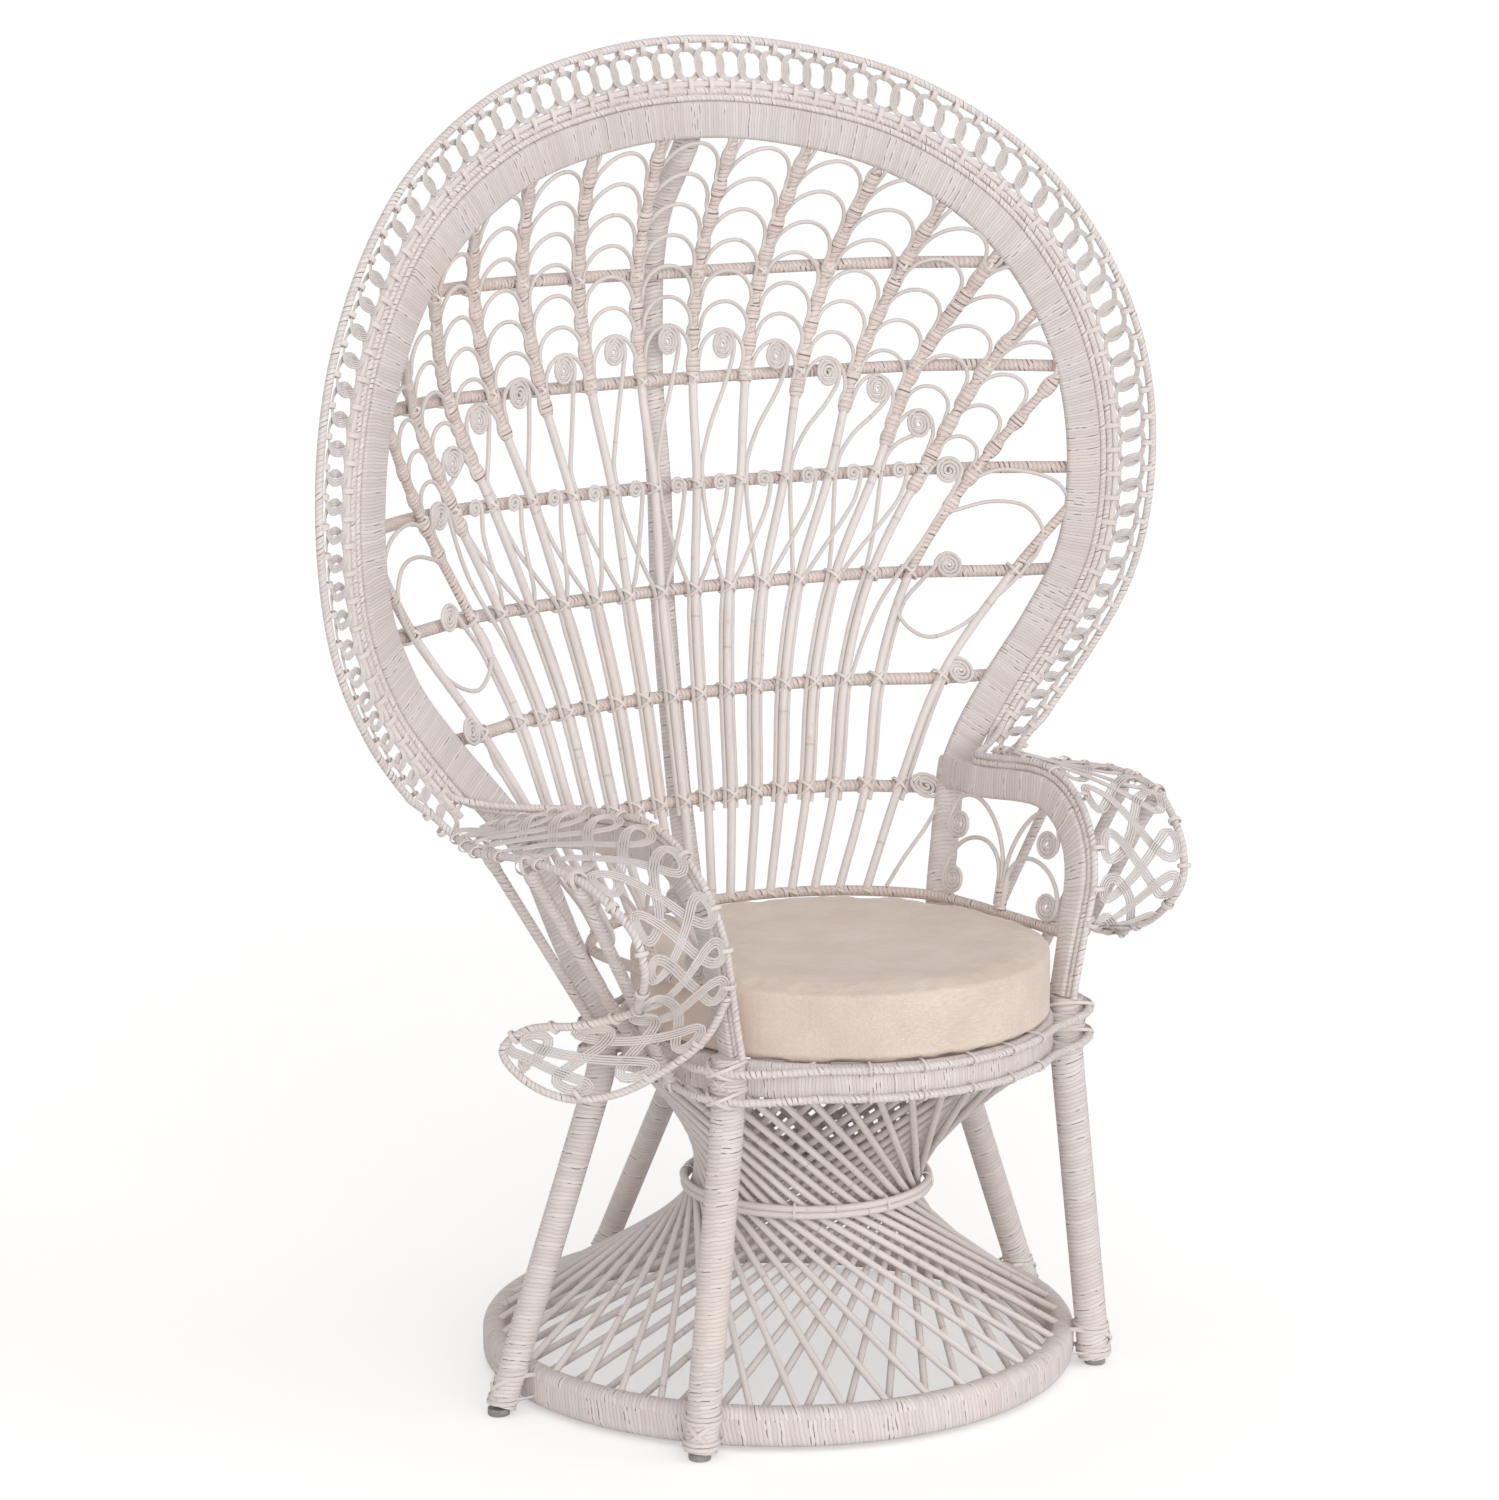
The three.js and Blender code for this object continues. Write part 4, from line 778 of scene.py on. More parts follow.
BAR_FLAT = flat_radius(BAR_RADIUS, 6)
BAR_DEPTH = HOOP_THICKNESS / 2 + CLEARANCE + BAR_FLAT
POST_DEPTH = BAR_DEPTH + BAR_FLAT + 2 * CLEARANCE + flat_radius(LEG_RADII["post"], 8)
HOOP_FOOT_PLACE = Vector((HOOP_FOOT_HALF, hoop_depth(HOOP_FOOT_HALF, HOOP_FOOT), HOOP_FOOT))


def eased(places, reach, steps=5):
    """A line of straight runs whose corners are rounded within the given reach."""
    route = [places[0]]
    for before, corner, after in zip(places, places[1:], places[2:]):
        start = corner + (before - corner).normalized() * min(reach, (before - corner).length / 2)
        end = corner + (after - corner).normalized() * min(reach, (after - corner).length / 2)
        for step in range(steps + 1):
            share = step / steps
            route.append(start.lerp(corner, share).lerp(corner.lerp(end, share), share))
    route.append(places[-1])
    return route


def resampled(places, spacing):
    """The same line with stations at about an even spacing, so that its windings stay even."""
    route = [places[0]]
    for before, after in zip(places, places[1:]):
        pieces = max(1, round((after - before).length / spacing))
        route += [before.lerp(after, piece / pieces) for piece in range(1, pieces + 1)]
    return route


def cane_strip(places, radius, sides=8, facing=BACK):
    return strip(stations_through(places, facing), round_section(radius, sides))


def lashing(centre, outward, sideways, depth, width, band=3.4, tilt=0.0, thickness=1.1, steps=14):
    """One turn of peel round a joint: an oval in the plane of the outward and the sideways direction."""
    along = outward.cross(sideways).normalized()
    wide = (sideways * math.cos(tilt) + along * math.sin(tilt)).normalized()
    stations = []
    axis = outward.cross(wide).normalized()
    for step in range(steps):
        angle = math.tau * step / steps
        radial = outward * (depth * math.cos(angle)) + wide * (width * math.sin(angle))
        stations.append((centre + radial, axis, radial.normalized()))
    half = band / 2
    section = [(-half, 0), (half, 0), (half * 0.8, thickness), (-half * 0.8, thickness)]
    return strip(stations, section, closed=True)


def cross_lashing(centre, outward, along, depth, width, tilt=math.radians(42), band=3.4):
    """Two turns of peel that cross over a joint."""
    sideways = along.cross(outward).normalized()
    return [lashing(centre, outward, sideways, depth, width, band, angle) for angle in (tilt, -tilt)]


def leg_foot_and_seat(kind):
    """Where a leg meets the floor and where it passes the seat band, clear of both rings."""
    corner = corner_radius(LEG_RADII[kind], 8)
    foot_angle, seat_angle = (math.radians(turn) for turn in LEG_TURNS[kind])
    seat = on_circle(SEAT_Y, BAND_RADIUS + CLEARANCE + corner, seat_angle, BAND_BOTTOM - 10)
    toward = on_circle(0, 1, foot_angle, 0)
    share = (BASE_RING_LIFT + BASE_RING_HEIGHT) / seat.z
    reach = (BASE_RING_RADIUS + CLEARANCE + corner - seat.dot(toward) * share) / (1 - share)
    return toward * reach, seat


def beside_seat_hoop(place, radius):
    outwards = Vector((place.x, place.y - SEAT_Y, 0)).normalized()
    return place + outwards * (corner_radius(SEAT_HOOP_RADIUS, 6) + CLEARANCE + corner_radius(radius, 8))


def leg_routes():
    """Each leg's kind and its route from the floor up, by name."""
    foot, seat = leg_foot_and_seat("front")
    front = [foot, seat, Vector((seat.x, seat.y, ARM_BAND_FOOT - CLEARANCE))]
    foot, seat = leg_foot_and_seat("rear")
    rear_share, rear_forward = SEAT_HOOP_SHARES[4]
    seat_side = Vector((
        rear_share * SEAT_HOOP_HALF, SEAT_HOOP_BACK - rear_forward * SEAT_HOOP_REACH, SEAT_HOOP_HEIGHT,
    ))
    rear = [
        foot, seat, Vector((seat.x, seat.y, BAND_TOP + 10)),
        beside_seat_hoop(seat_side, LEG_RADII["rear"]), HOOP_FOOT_PLACE - UP * CLEARANCE,
    ]
    foot, seat = leg_foot_and_seat("post")
    post = [foot, seat, Vector((seat.x, seat.y, BAND_TOP + 10))]
    post.append(beside_seat_hoop(Vector((0, SEAT_HOOP_BACK, SEAT_HOOP_HEIGHT)), LEG_RADII["post"]))
    heights = [*BAR_HEIGHTS, BAR_FIRST + (BAR_COUNT - 0.5) * BAR_SPACING]
    post += [on_lattice(0, z, -POST_DEPTH) for z in heights]
    rear_face = HOOP_BACK + HOOP_THICKNESS / 2 + CLEARANCE + corner_radius(LEG_RADII["post"], 8)
    post += [Vector((0, rear_face, HOOP_TOP - HOOP_WIDTH / 2)), Vector((0, rear_face, HOOP_TOP))]
    return {
        "front_leg_left": ("front", front), "front_leg_right": ("front", [flipped(p) for p in front]),
        "rear_leg_left": ("rear", rear), "rear_leg_right": ("rear", [flipped(p) for p in rear]),
        "back_post": ("post", post),
    }


LEGS = leg_routes()
RIM_FLAT = flat_radius(RIM_CANE_RADIUS, 4)
RIM_CIRCLE = (BAND_RADIUS + CLEARANCE) / math.cos(math.pi / 52) + RIM_FLAT
RIM_HEIGHTS = [BAND_BOTTOM + RIM_CANE_RADIUS, BAND_TOP - RIM_CANE_RADIUS]


def rim_reach(angle):
    """How far out the seat's rim canes run, round the band and round every leg."""
    reach = RIM_CIRCLE
    for kind, places in LEGS.values():
        seat = places[1]
        away = math.remainder(angle - math.atan2(seat.y - SEAT_Y, seat.x), math.tau) / RIM_BULGE
        if abs(away) < 1:
            past = BAND_RADIUS + 2 * (CLEARANCE + corner_radius(LEG_RADII[kind], 8)) + RIM_FLAT + CLEARANCE
            reach = max(reach, mix(RIM_CIRCLE, past, math.cos(away * math.pi / 2) ** 2))
    return reach


def ring_strip(centre_y, radius, z, section, steps=120):
    stations = []
    for step in range(steps):
        angle = math.tau * step / steps
        reach = radius(angle) if callable(radius) else radius
        stations.append((on_circle(centre_y, reach, angle, z), on_circle(0, 1, angle, 0), UP.copy()))
    return strip(stations, section, closed=True)


def arm_x(z):
    return ARM_HALF + (z - ARM_WIDTH_HEIGHT) * ARM_LEAN


ARM_OUTWARD = Vector((1, 0, -ARM_LEAN)).normalized()


def arm_outline(corner_steps=10):
    """The arm's way forward, round its front corner and down to its foot."""
    bend_y = -(ARM_FRONT - ARM_CORNER)
    bend_z = ARM_TOP - ARM_CORNER
    places = [(-ARM_REAR / 2, ARM_TOP), ((bend_y - ARM_REAR / 2) / 2, ARM_TOP)]
    for step in range(corner_steps + 1):
        angle = math.tau / 4 * step / corner_steps
        places.append((bend_y - ARM_CORNER * math.sin(angle), bend_z + ARM_CORNER * math.cos(angle)))
    places += [(-ARM_FRONT, (bend_z + ARM_BAND_FOOT) / 2), (-ARM_FRONT, ARM_BAND_FOOT)]
    return [Vector((arm_x(z), y, z)) for y, z in places]


def beside_arm(shares):
    beyond, forward, height = shares
    z = BAND_TOP + height * (ARM_TOP - BAND_TOP)
    return Vector((arm_x(z) + beyond * FLARE_REACH, -forward * ARM_FRONT, z))


def carried(centre, previous):
    """Carries a section along its route without a twist."""
    return previous if previous is not None else BACK


def arm_stations():
    """The arm's middle line, from the hoop's foot over the front corner down to the leg, and its width."""
    rear = Vector((HOOP_FOOT_HALF, hoop_depth(HOOP_FOOT_HALF, ARM_TOP), ARM_TOP - ARM_BAND_THICKNESS / 2))
    stations = []
    for centre, across, through in stations_through(resampled([rear, *arm_outline()], 8), ARM_OUTWARD):
        # The band widens up from its foot, and sits lower behind, under the edging canes' bend
        width = mix(ARM_BAND_FOOT_WIDTH, ARM_BAND_WIDTH, smoothstep(440, 560, centre.z))
        rise = mix(-4.5, 2.5, smoothstep(20, 120, -centre.y))
        stations.append((centre + across * rise, across, through, width))
    return stations


ARM_STATIONS = arm_stations()


def chain_width(share):
    """The chain's width at a share of the hoop's length: it narrows towards both of the hoop's feet."""
    from_foot = min(share - BORDER_FROM, BORDER_TO - share) / CHAIN_NARROWING
    return CHAIN_WIDTH * mix(CHAIN_TAPER, 1, smoothstep(0, 1, from_foot))


def rim_offset(share):
    return CHAIN_INNER + chain_width(share) + RIM_SPACE


def edging_route(order):
    """Half of an edging cane: beside the hoop to its foot, round on to the arm and down its front."""
    hoop_part = [place for place, _, _ in hoop_stations(0.5, EDGING_TO[order], 90, EDGING_OFFSETS[order])]
    arm_part = []
    for centre, across, _, width in ARM_STATIONS:
        if centre.y < -ARM_REAR / 2:
            arm_part.append(centre + across * (width / 2 + EDGING_RADIUS * (1 + 2 * order)))
    start, end = hoop_part[-1], arm_part[0]
    bend = []
    for over, up in ((0.1, 0.42), (0.3, 0.8), (0.62, 1)):
        place = start.lerp(end, over)
        place.z = mix(start.z, end.z, up)
        bend.append(place)
    turned = SmoothCurve([*hoop_part[-3:], *bend, *arm_part[:3]]).spaced(30)
    return hoop_part[:-3] + turned + arm_part[3:]


def whole_route(half, other=None):
    return [flipped(place) for place in reversed((other or half)[1:])] + half


FLARES = {
    side: (
        SmoothCurve([beside_arm(shares) for shares in [*FLARE_INNER_SHARES, *FLARE_INNER_ENDS[side]]]),
        SmoothCurve([beside_arm(shares) for shares in [*RIM_SHARES[1:-1], *FLARE_OUTER_ENDS[side]]]),
    )
    for side in (1, -1)
}


def curve_point(curve, share):
    spans = len(curve.places) - 1
    along = min(max(share, 0.0), 1.0) * spans
    span = min(int(along), spans - 1)
    return curve.between(span, along - span)


def on_flare(along, across, side):
    inner, outer = FLARES[side]
    return curve_point(inner, along).lerp(curve_point(outer, along), across)


# Pieces of the base and the seat

def strand_family(hand, foot, waist_radius, head):
    """Straight canes that twist one way round the base, bent only at the waist."""
    strips = []
    for count in range(STRAND_COUNT):
        angle = math.tau * count / STRAND_COUNT
        ends = [
            on_circle(0, foot[0], angle - hand * LOWER_TWIST, foot[1]),
            on_circle(WAIST_Y, waist_radius, angle, WAIST_HEIGHT),
            on_circle(SEAT_Y, head[0], angle + hand * UPPER_TWIST, head[1]),
        ]
        strips.append(cane_strip(resampled(eased(ends, 24, 3), 60), STRAND_RADIUS, 8, UP))
    return strips


def make_base():
    """The floor ring, the band under the seat, the twisted canes and the two waist canes."""
    wound, cane = finish("band"), finish("cane")
    ring = ring_strip(
        0, BASE_RING_RADIUS - BASE_RING_THICKNESS / 2, BASE_RING_LIFT + BASE_RING_HEIGHT / 2,
        flat_section(BASE_RING_THICKNESS, BASE_RING_HEIGHT, 4), 160,
    )
    swept_piece("floor_ring", [ring], finish("pole"), ["base_ring"])
    swept_piece("outer_twist_canes", strand_family(*OUTER_STRANDS), cane, ["base_ring"])
    band = ring_strip(
        SEAT_Y, BAND_RADIUS - BAND_THICKNESS / 2, (BAND_TOP + BAND_BOTTOM) / 2,
        flat_section(BAND_THICKNESS, BAND_TOP - BAND_BOTTOM), 140,
    )
    swept_piece("seat_band_winding", [band], wound, ["seat_band"])
    swept_piece("inner_twist_canes", strand_family(*INNER_STRANDS), cane, ["seat_band"])
    offset = flat_radius(STRAND_RADIUS, 4) + CLEARANCE / 2
    section = round_section(STRAND_RADIUS, 8)
    canes = [
        ring_strip(WAIST_Y, WAIST_CANE_CIRCLE, WAIST_HEIGHT + side * offset, section, 96) for side in (-1, 1)
    ]
    swept_piece("waist_canes", canes, cane, ["waist_cane_lower", "waist_cane_upper"])
    ties = []
    for count in range(0, STRAND_COUNT, 5):
        angle = math.tau * (count + 0.4) / STRAND_COUNT
        centre = on_circle(WAIST_Y, WAIST_CANE_CIRCLE - 3, angle, WAIST_HEIGHT)
        ties.append(lashing(centre, on_circle(0, 1, angle, 0), UP, 8, 9, 3.0))
    swept_piece("waist_ties", ties, finish("peel"))


def make_seat():
    """The seat's two rim canes, their lashings round the legs and the slats' finish."""
    section = round_section(RIM_CANE_RADIUS, 8)
    rims = [ring_strip(SEAT_Y, rim_reach, height, section, 200) for height in RIM_HEIGHTS]
    swept_piece("seat_rim_canes", rims, finish("rim"), ["seat_rim_lower", "seat_rim_upper"])
    ties = []
    for kind, places in LEGS.values():
        seat = places[1]
        outward = Vector((seat.x, seat.y - SEAT_Y, 0)).normalized()
        sideways = UP.cross(outward)
        radius = LEG_RADII[kind]
        for height in RIM_HEIGHTS:
            centre = Vector((seat.x, seat.y, height)) + outward * 3
            ties += cross_lashing(centre, outward, UP, radius + 9, radius + 3, math.radians(24), 4.0)
        centre = Vector((seat.x, seat.y, (RIM_HEIGHTS[0] + RIM_HEIGHTS[1]) / 2))
        for turn in (-8, -4, 0, 4, 8):
            ties.append(lashing(centre + UP * turn, outward, sideways, radius + 0.6, radius + 0.6, 3.8))
        ties += cross_lashing(centre, outward, UP, radius + 2.4, radius + 2.4, math.radians(34), 3.6)
    for count in range(RIM_TIES):
        angle = math.tau * (count + 0.5) / RIM_TIES
        reach = rim_reach(angle)
        if reach > RIM_CIRCLE + 0.5:
            continue
        for height in RIM_HEIGHTS:
            centre = on_circle(SEAT_Y, (reach + BAND_RADIUS - BAND_THICKNESS / 2) / 2 - 2, angle, height)
            ties.append(lashing(centre, on_circle(0, 1, angle, 0), UP, 14.5, 6.5, 3.2))
    swept_piece("seat_lashings", ties, finish("peel"))
    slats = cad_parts["seat_slats"]
    slats.data.materials.clear()
    slats.data.materials.append(finish("slat"))


def noise_at(place, scale, seed):
    return noise.noise(Vector((place.x * scale + seed, place.y * scale - seed, place.z * scale + 2 * seed)))


# The cushion's lengths are in metres
CUSHION_SWELL = 0.006
MOST_SWELL = 0.007
CLOTH_STEPS = 20
SEAM_BELOW_TOP = 0.0095
SEAM_ABOVE_BOTTOM = 0.004
SEAM_WIDTH, SEAM_DEPTH = 0.0026, 0.0016
RIDGE_ABOVE_SEAM = 0.0035
RIDGE_WIDTH, RIDGE_DEPTH = 0.0022, 0.0008


def vertex_places(mesh):
    places = np.empty(len(mesh.vertices) * 3)
    mesh.vertices.foreach_get("co", places)
    return places.reshape(-1, 3)


def make_cushion():
    """A round box cushion: pressed out by a cloth simulation, then seamed round its top and bottom edges."""
    settings = bpy.context.scene.peacock_cushion
    low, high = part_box("cushion")
    radius = (high.x - low.x) / 2 + settings.spread
    middle = (low + high) / 2
    centre = Vector((middle.x, middle.y - settings.spread * 0.6, middle.z))
    bpy.ops.object.select_all(action="DESELECT")
    bpy.ops.mesh.primitive_cylinder_add(
        vertices=96, radius=radius - CUSHION_SWELL * 0.6, depth=high.z - low.z - 2 * CUSHION_SWELL,
        end_fill_type="NGON", location=centre - Vector((0, 0, CUSHION_SWELL * 0.5)),
    )
    cushion = bpy.context.active_object
    cushion.name = "cushion_cover"
    bpy.ops.object.transform_apply(location=True, rotation=True, scale=True)
    bpy.ops.object.mode_set(mode="EDIT")
    bpy.ops.mesh.select_all(action="SELECT")
    bpy.ops.mesh.normals_make_consistent(inside=False)
    bpy.ops.object.mode_set(mode="OBJECT")
    cushion.data.remesh_voxel_size = 0.006
    bpy.ops.object.voxel_remesh()
    start = vertex_places(cushion.data)
    cloth = cushion.modifiers.new("Cloth", "CLOTH")
    cloth.settings.use_pressure = True
    cloth.settings.uniform_pressure_force = settings.pressure
    cloth.settings.quality = 6
    cloth.settings.effector_weights.gravity = 0
    cloth.point_cache.frame_start = 1
    cloth.point_cache.frame_end = CLOTH_STEPS
    for step in range(1, CLOTH_STEPS + 1):
        bpy.context.scene.frame_set(step)
    bpy.context.view_layer.objects.active = cushion
    bpy.ops.object.modifier_apply(modifier="Cloth")
    bpy.context.scene.frame_set(1)
    shift = vertex_places(cushion.data) - start
    length = np.linalg.norm(shift, axis=1, keepdims=True)
    held = start + shift * np.minimum(1, MOST_SWELL / np.maximum(length, 1e-9))
    cushion.data.vertices.foreach_set("co", held.ravel())
    cushion.data.update()
    subdivision = cushion.modifiers.new("Subdivision", "SUBSURF")
    subdivision.levels = subdivision.render_levels = 1
    bpy.ops.object.modifier_apply(modifier="Subdivision")
    sew_cushion(cushion, centre, radius, low.z, high.z)
    finish_piece(cushion, finish("cotton"), ["cushion"], math.radians(60))


def ridge(height, middle, width):
    """A smooth rise and fall round a height."""
    return math.exp(-((height - middle) / width) ** 2)


def sew_cushion(cushion, centre, radius, bottom, top):
    """Seams round both edges, a ridge above each and the soft folds of the loose cover."""
    settings = bpy.context.scene.peacock_cushion
    for vertex in cushion.data.vertices:
        place = vertex.co
        outward = Vector((place.x - centre.x, place.y - centre.y, 0))
        share = outward.length / radius
        outward.normalize()
        if place.z < bottom + 0.002:
            place.z = bottom + 0.0004
        if share > 0.9:
            for seam in (top - SEAM_BELOW_TOP, bottom + SEAM_ABOVE_BOTTOM):
                place -= outward * SEAM_DEPTH * ridge(place.z, seam, SEAM_WIDTH)
                place += outward * RIDGE_DEPTH * ridge(place.z, seam + RIDGE_ABOVE_SEAM, RIDGE_WIDTH)
            pull = math.sin(math.pi * min(max((place.z - bottom) / (top - bottom), 0), 1))
            angle = math.atan2(outward.y, outward.x)
            ripple = noise_at(Vector((angle * 3.1, place.z * 6, 0)), 1.0, 3.0)
            place += outward * settings.wrinkle * 0.7 * ripple * pull
        if place.z > centre.z:
            fold = noise_at(Vector((place.x, place.y, 0)) + Vector((0.3 * place.y, 0, 0)), 16.0, 7.0)
            slanting = Vector((place.x * 0.8 + place.y * 0.5, place.y * 2.2, 0))
            crease = max(0, 1 - abs(noise_at(slanting, 12.0, 1.0)) * 2) ** 5
            edge = smoothstep(0.3, 0.95, share)
            fullness = smoothstep(0.5, 0.92, share) * (1 - 0.5 * smoothstep(0.96, 1.02, share))
            folds = (0.9 * fold + 0.55 * crease * (0.4 + edge)) * (1 - 0.5 * edge)
            place.z += settings.edge_lift * fullness
            place.z += settings.wrinkle * folds
        place.z = min(place.z, top + 0.0015)
    cushion.data.update()


def make_legs():
    """Five wound poles with their foot lashings."""
    ties = []
    for name, (kind, places) in LEGS.items():
        radius = LEG_RADII[kind]
        start = places[0].lerp(places[1], POLE_START / places[1].z)
        route = resampled(eased([start, *places[1:]], 26, 6), 18)
        outward = Vector((places[0].x, places[0].y, 0)).normalized()
        pole = cane_strip(route, radius, 16, Vector((outward.y, -outward.x, 0)))
        swept_piece(f"{name}_pole", [pole], finish("pole"), [name])
        sideways = UP.cross(outward)
        middle = places[0].lerp(places[1], FOOT_TIE_HEIGHT / places[1].z)
        inset = (BASE_RING_THICKNESS + radius) / 2
        joint = middle - outward * inset * 0.62
        depth = radius + inset * 0.66 + 2
        ties += cross_lashing(joint, outward, UP, depth, radius + 4, math.radians(40), 5.0)
        for turn in (-15, -10, 12, 17):
            centre = places[0].lerp(places[1], (FOOT_TIE_HEIGHT + turn) / places[1].z)
            ties.append(lashing(centre, outward, sideways, radius + 0.8, radius + 0.8, 4.4))
    swept_piece("foot_lashings", ties, finish("peel"))


def make_glides():
    """Moulded feet: a disc with a rounded foot edge, copied under each leg."""
    shape = None
    glides = [f"{name}_glide" for name in LEGS]
    for name in glides:
        low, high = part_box(name)
        centre = (low + high) / 2
        if shape is None:
            bpy.ops.object.select_all(action="DESELECT")
            bpy.ops.mesh.primitive_cylinder_add(
                vertices=32, radius=(high.x - low.x) / 2, depth=high.z - low.z, location=centre,
            )
            shape = bpy.context.active_object
            bpy.ops.object.transform_apply(location=True, rotation=False, scale=False)
            bpy.ops.object.mode_set(mode="EDIT")
            bpy.ops.mesh.select_all(action="DESELECT")
            edit = bmesh.from_edit_mesh(shape.data)
            for edge in edit.edges:
                level = all(abs(vertex.co.z - low.z) < 1e-5 for vertex in edge.verts)
                edge.select_set(level and len(edge.link_faces) == 2)
            bmesh.update_edit_mesh(shape.data)
            bpy.ops.mesh.bevel(offset=0.002, segments=3)
            bpy.ops.object.mode_set(mode="OBJECT")
            first, made = centre, shape
            base = shape.data.copy()
        else:
            made = bpy.data.objects.new(name, base.copy())
            bpy.context.scene.collection.objects.link(made)
            for vertex in made.data.vertices:
                vertex.co += centre - first
        made.name = f"{name}_foot"
        finish_piece(made, finish("plastic"), [name], math.radians(35))


# Pieces of the back

def make_hoop():
    """The broad hoop, wound across its width, and the horseshoe hoop over the seat."""
    stations = hoop_stations(0.002, 0.998, 260)
    hoop = strip(stations, flat_section(HOOP_WIDTH, HOOP_THICKNESS))
    # The hoop's winding has the darker hoop colours, which paint shade on it
    swept_piece("hoop_winding", [hoop], finish("hoop"), ["back_hoop"])
    seat = cane_strip(SEAT_HOOP_CURVE.spaced(110), SEAT_HOOP_RADIUS, 10, UP)
    swept_piece("seat_hoop_cane", [seat], finish("bar"), ["seat_hoop"])


RIB_PLACES = [rib - RIBS_PER_SIDE + 0.5 for rib in range(2 * RIBS_PER_SIDE)]
RIB_FOOT = SEAT_HOOP_HEIGHT + 3


def rib_top(place):
    height = BAR_FIRST
    while height < HOOP_TOP and distance_to_hoop(rib_x(place, height), height) > HOOP_WIDTH / 4:
        height += 2.8
    return height


RIB_TOPS = [rib_top(place) for place in RIB_PLACES]


def rib_curve(rib):
    place, top = RIB_PLACES[rib], RIB_TOPS[rib]
    rows = [height for height in BAR_HEIGHTS if height < top - HOOP_WIDTH]
    heights = [RIB_FOOT, *rows, top]
    return SmoothCurve([on_lattice(rib_x(place, height), height) for height in heights], 24)


RIB_CURVES = [rib_curve(rib) for rib in range(len(RIB_PLACES))]
RIB_LINES = [np.array([(p.z, p.x, p.y) for p in curve.points]) for curve in RIB_CURVES]


def rib_at(rib, z):
    heights, xs, ys = RIB_LINES[rib].T
    return Vector((float(np.interp(z, heights, xs)), float(np.interp(z, heights, ys)), z))


def beside_rib(rib, z, offset, forward=0.0):
    """A place beside a rib: offset along the surface, square to the rib, and forward of it."""
    here, above = rib_at(rib, z), rib_at(rib, z + 4)
    normal = lattice_normal(here.x, z)
    across = normal.cross(above - here).normalized()
    return here + across * offset - normal * forward


def hoop_half(z):
    side = HOOP_XZ[HOOP_XZ[:, 0] > 0]
    return float(side[np.abs(side[:, 1] - z).argmin(), 0])


def scroll_height(rib_gap):
    return SCROLL_HEIGHTS[min(abs(rib_gap), RIBS_PER_SIDE - 1)]


def wound_from(rib):
    """Above the scrolls the ribs are wound with peel."""
    gaps = [rib - RIBS_PER_SIDE, rib - RIBS_PER_SIDE + 1]
    return min(scroll_height(gap) for gap in gaps) - 6


def make_lattice():
    """The cross bars, the fan of ribs, their wound tops and the lashings where they cross."""
    bars, crossings = [], []
    for height in BAR_HEIGHTS:
        end = hoop_half(height)
        xs = [rib_at(rib, height).x for rib in range(len(RIB_PLACES)) if RIB_TOPS[rib] > height + 20]
        xs = [x for x in xs if abs(x) < end - HOOP_WIDTH / 2]
        places = [on_lattice(x, height, -BAR_DEPTH) for x in [-end, *xs, end]]
        bars.append(cane_strip(SmoothCurve(places, 12).spaced(70), BAR_RADIUS, 10, UP))
        crossings += [(x, height) for x in xs]
    names = [f"cross_bar_{bar + 1}" for bar in range(BAR_COUNT)]
    swept_piece("cross_bar_windings", bars, finish("bar"), names)
    ribs, tops = [], []
    for rib, high in enumerate(RIB_TOPS):
        split = min(max(wound_from(rib), BAR_FIRST), high - 30)
        lower = [rib_at(rib, mix(RIB_FOOT, split, step / 24)) for step in range(25)]
        upper = [rib_at(rib, mix(split - 4, high, step / 16)) for step in range(17)]
        ribs.append(cane_strip(lower, RIB_RADIUS, 10))
        tops.append(cane_strip(upper, RIB_RADIUS + 0.5, 10))
    names = [f"rib_{rib + 1}" for rib in range(len(RIB_PLACES))]
    swept_piece("rib_canes", ribs, finish("cane"), names)
    swept_piece("rib_windings", tops, finish("bar"), names)
    ties = []
    for x, height in crossings:
        normal = lattice_normal(x, height)
        centre = on_lattice(x, height) + normal * (BAR_DEPTH / 2)
        width = TIE_WITH_REEDS if height < REEDS_LEAVE else TIE_ALONE
        ties += cross_lashing(centre, -normal, UP, BAR_DEPTH / 2 + 7.4, width, math.radians(44), 3.6)
    for rib in range(len(RIB_PLACES)):
        foot = rib_at(rib, RIB_FOOT)
        ties.append(lashing(foot - UP * 3, BACK, Vector((1, 0, 0)), 8.4, 6.6, 4.0, math.radians(30)))
    swept_piece("lattice_lashings", ties, finish("peel"))


def scroll_places(centre_x, centre_z, wide, tall, turns, hand, forward, start=0.0):
    """A flat spiral on the back's surface, from its outer end inwards."""
    places = []
    steps = max(8, round(turns * 14))
    for step in range(steps + 1):
        share = step / steps
        angle = start + hand * math.tau * turns * share
        shrink = 1 - 0.9 * share
        x = centre_x + wide * shrink * math.cos(angle)
        z = centre_z + tall * shrink * math.sin(angle)
        places.append(on_lattice(x, z, forward))
    return places


def scroll_strip(places):
    """A scroll's reed, which thins over its second half."""
    stations = stations_through(places, BACK)
    last = len(stations) - 1
    thinned = []
    for number, (centre, across, through) in enumerate(stations):
        size = mix(1.0, SCROLL_END, smoothstep(0.5, 1, number / last))
        thinned.append((centre, across * size, through * size))
    return strip(thinned, round_section(SCROLL_REED, REED_SIDES))


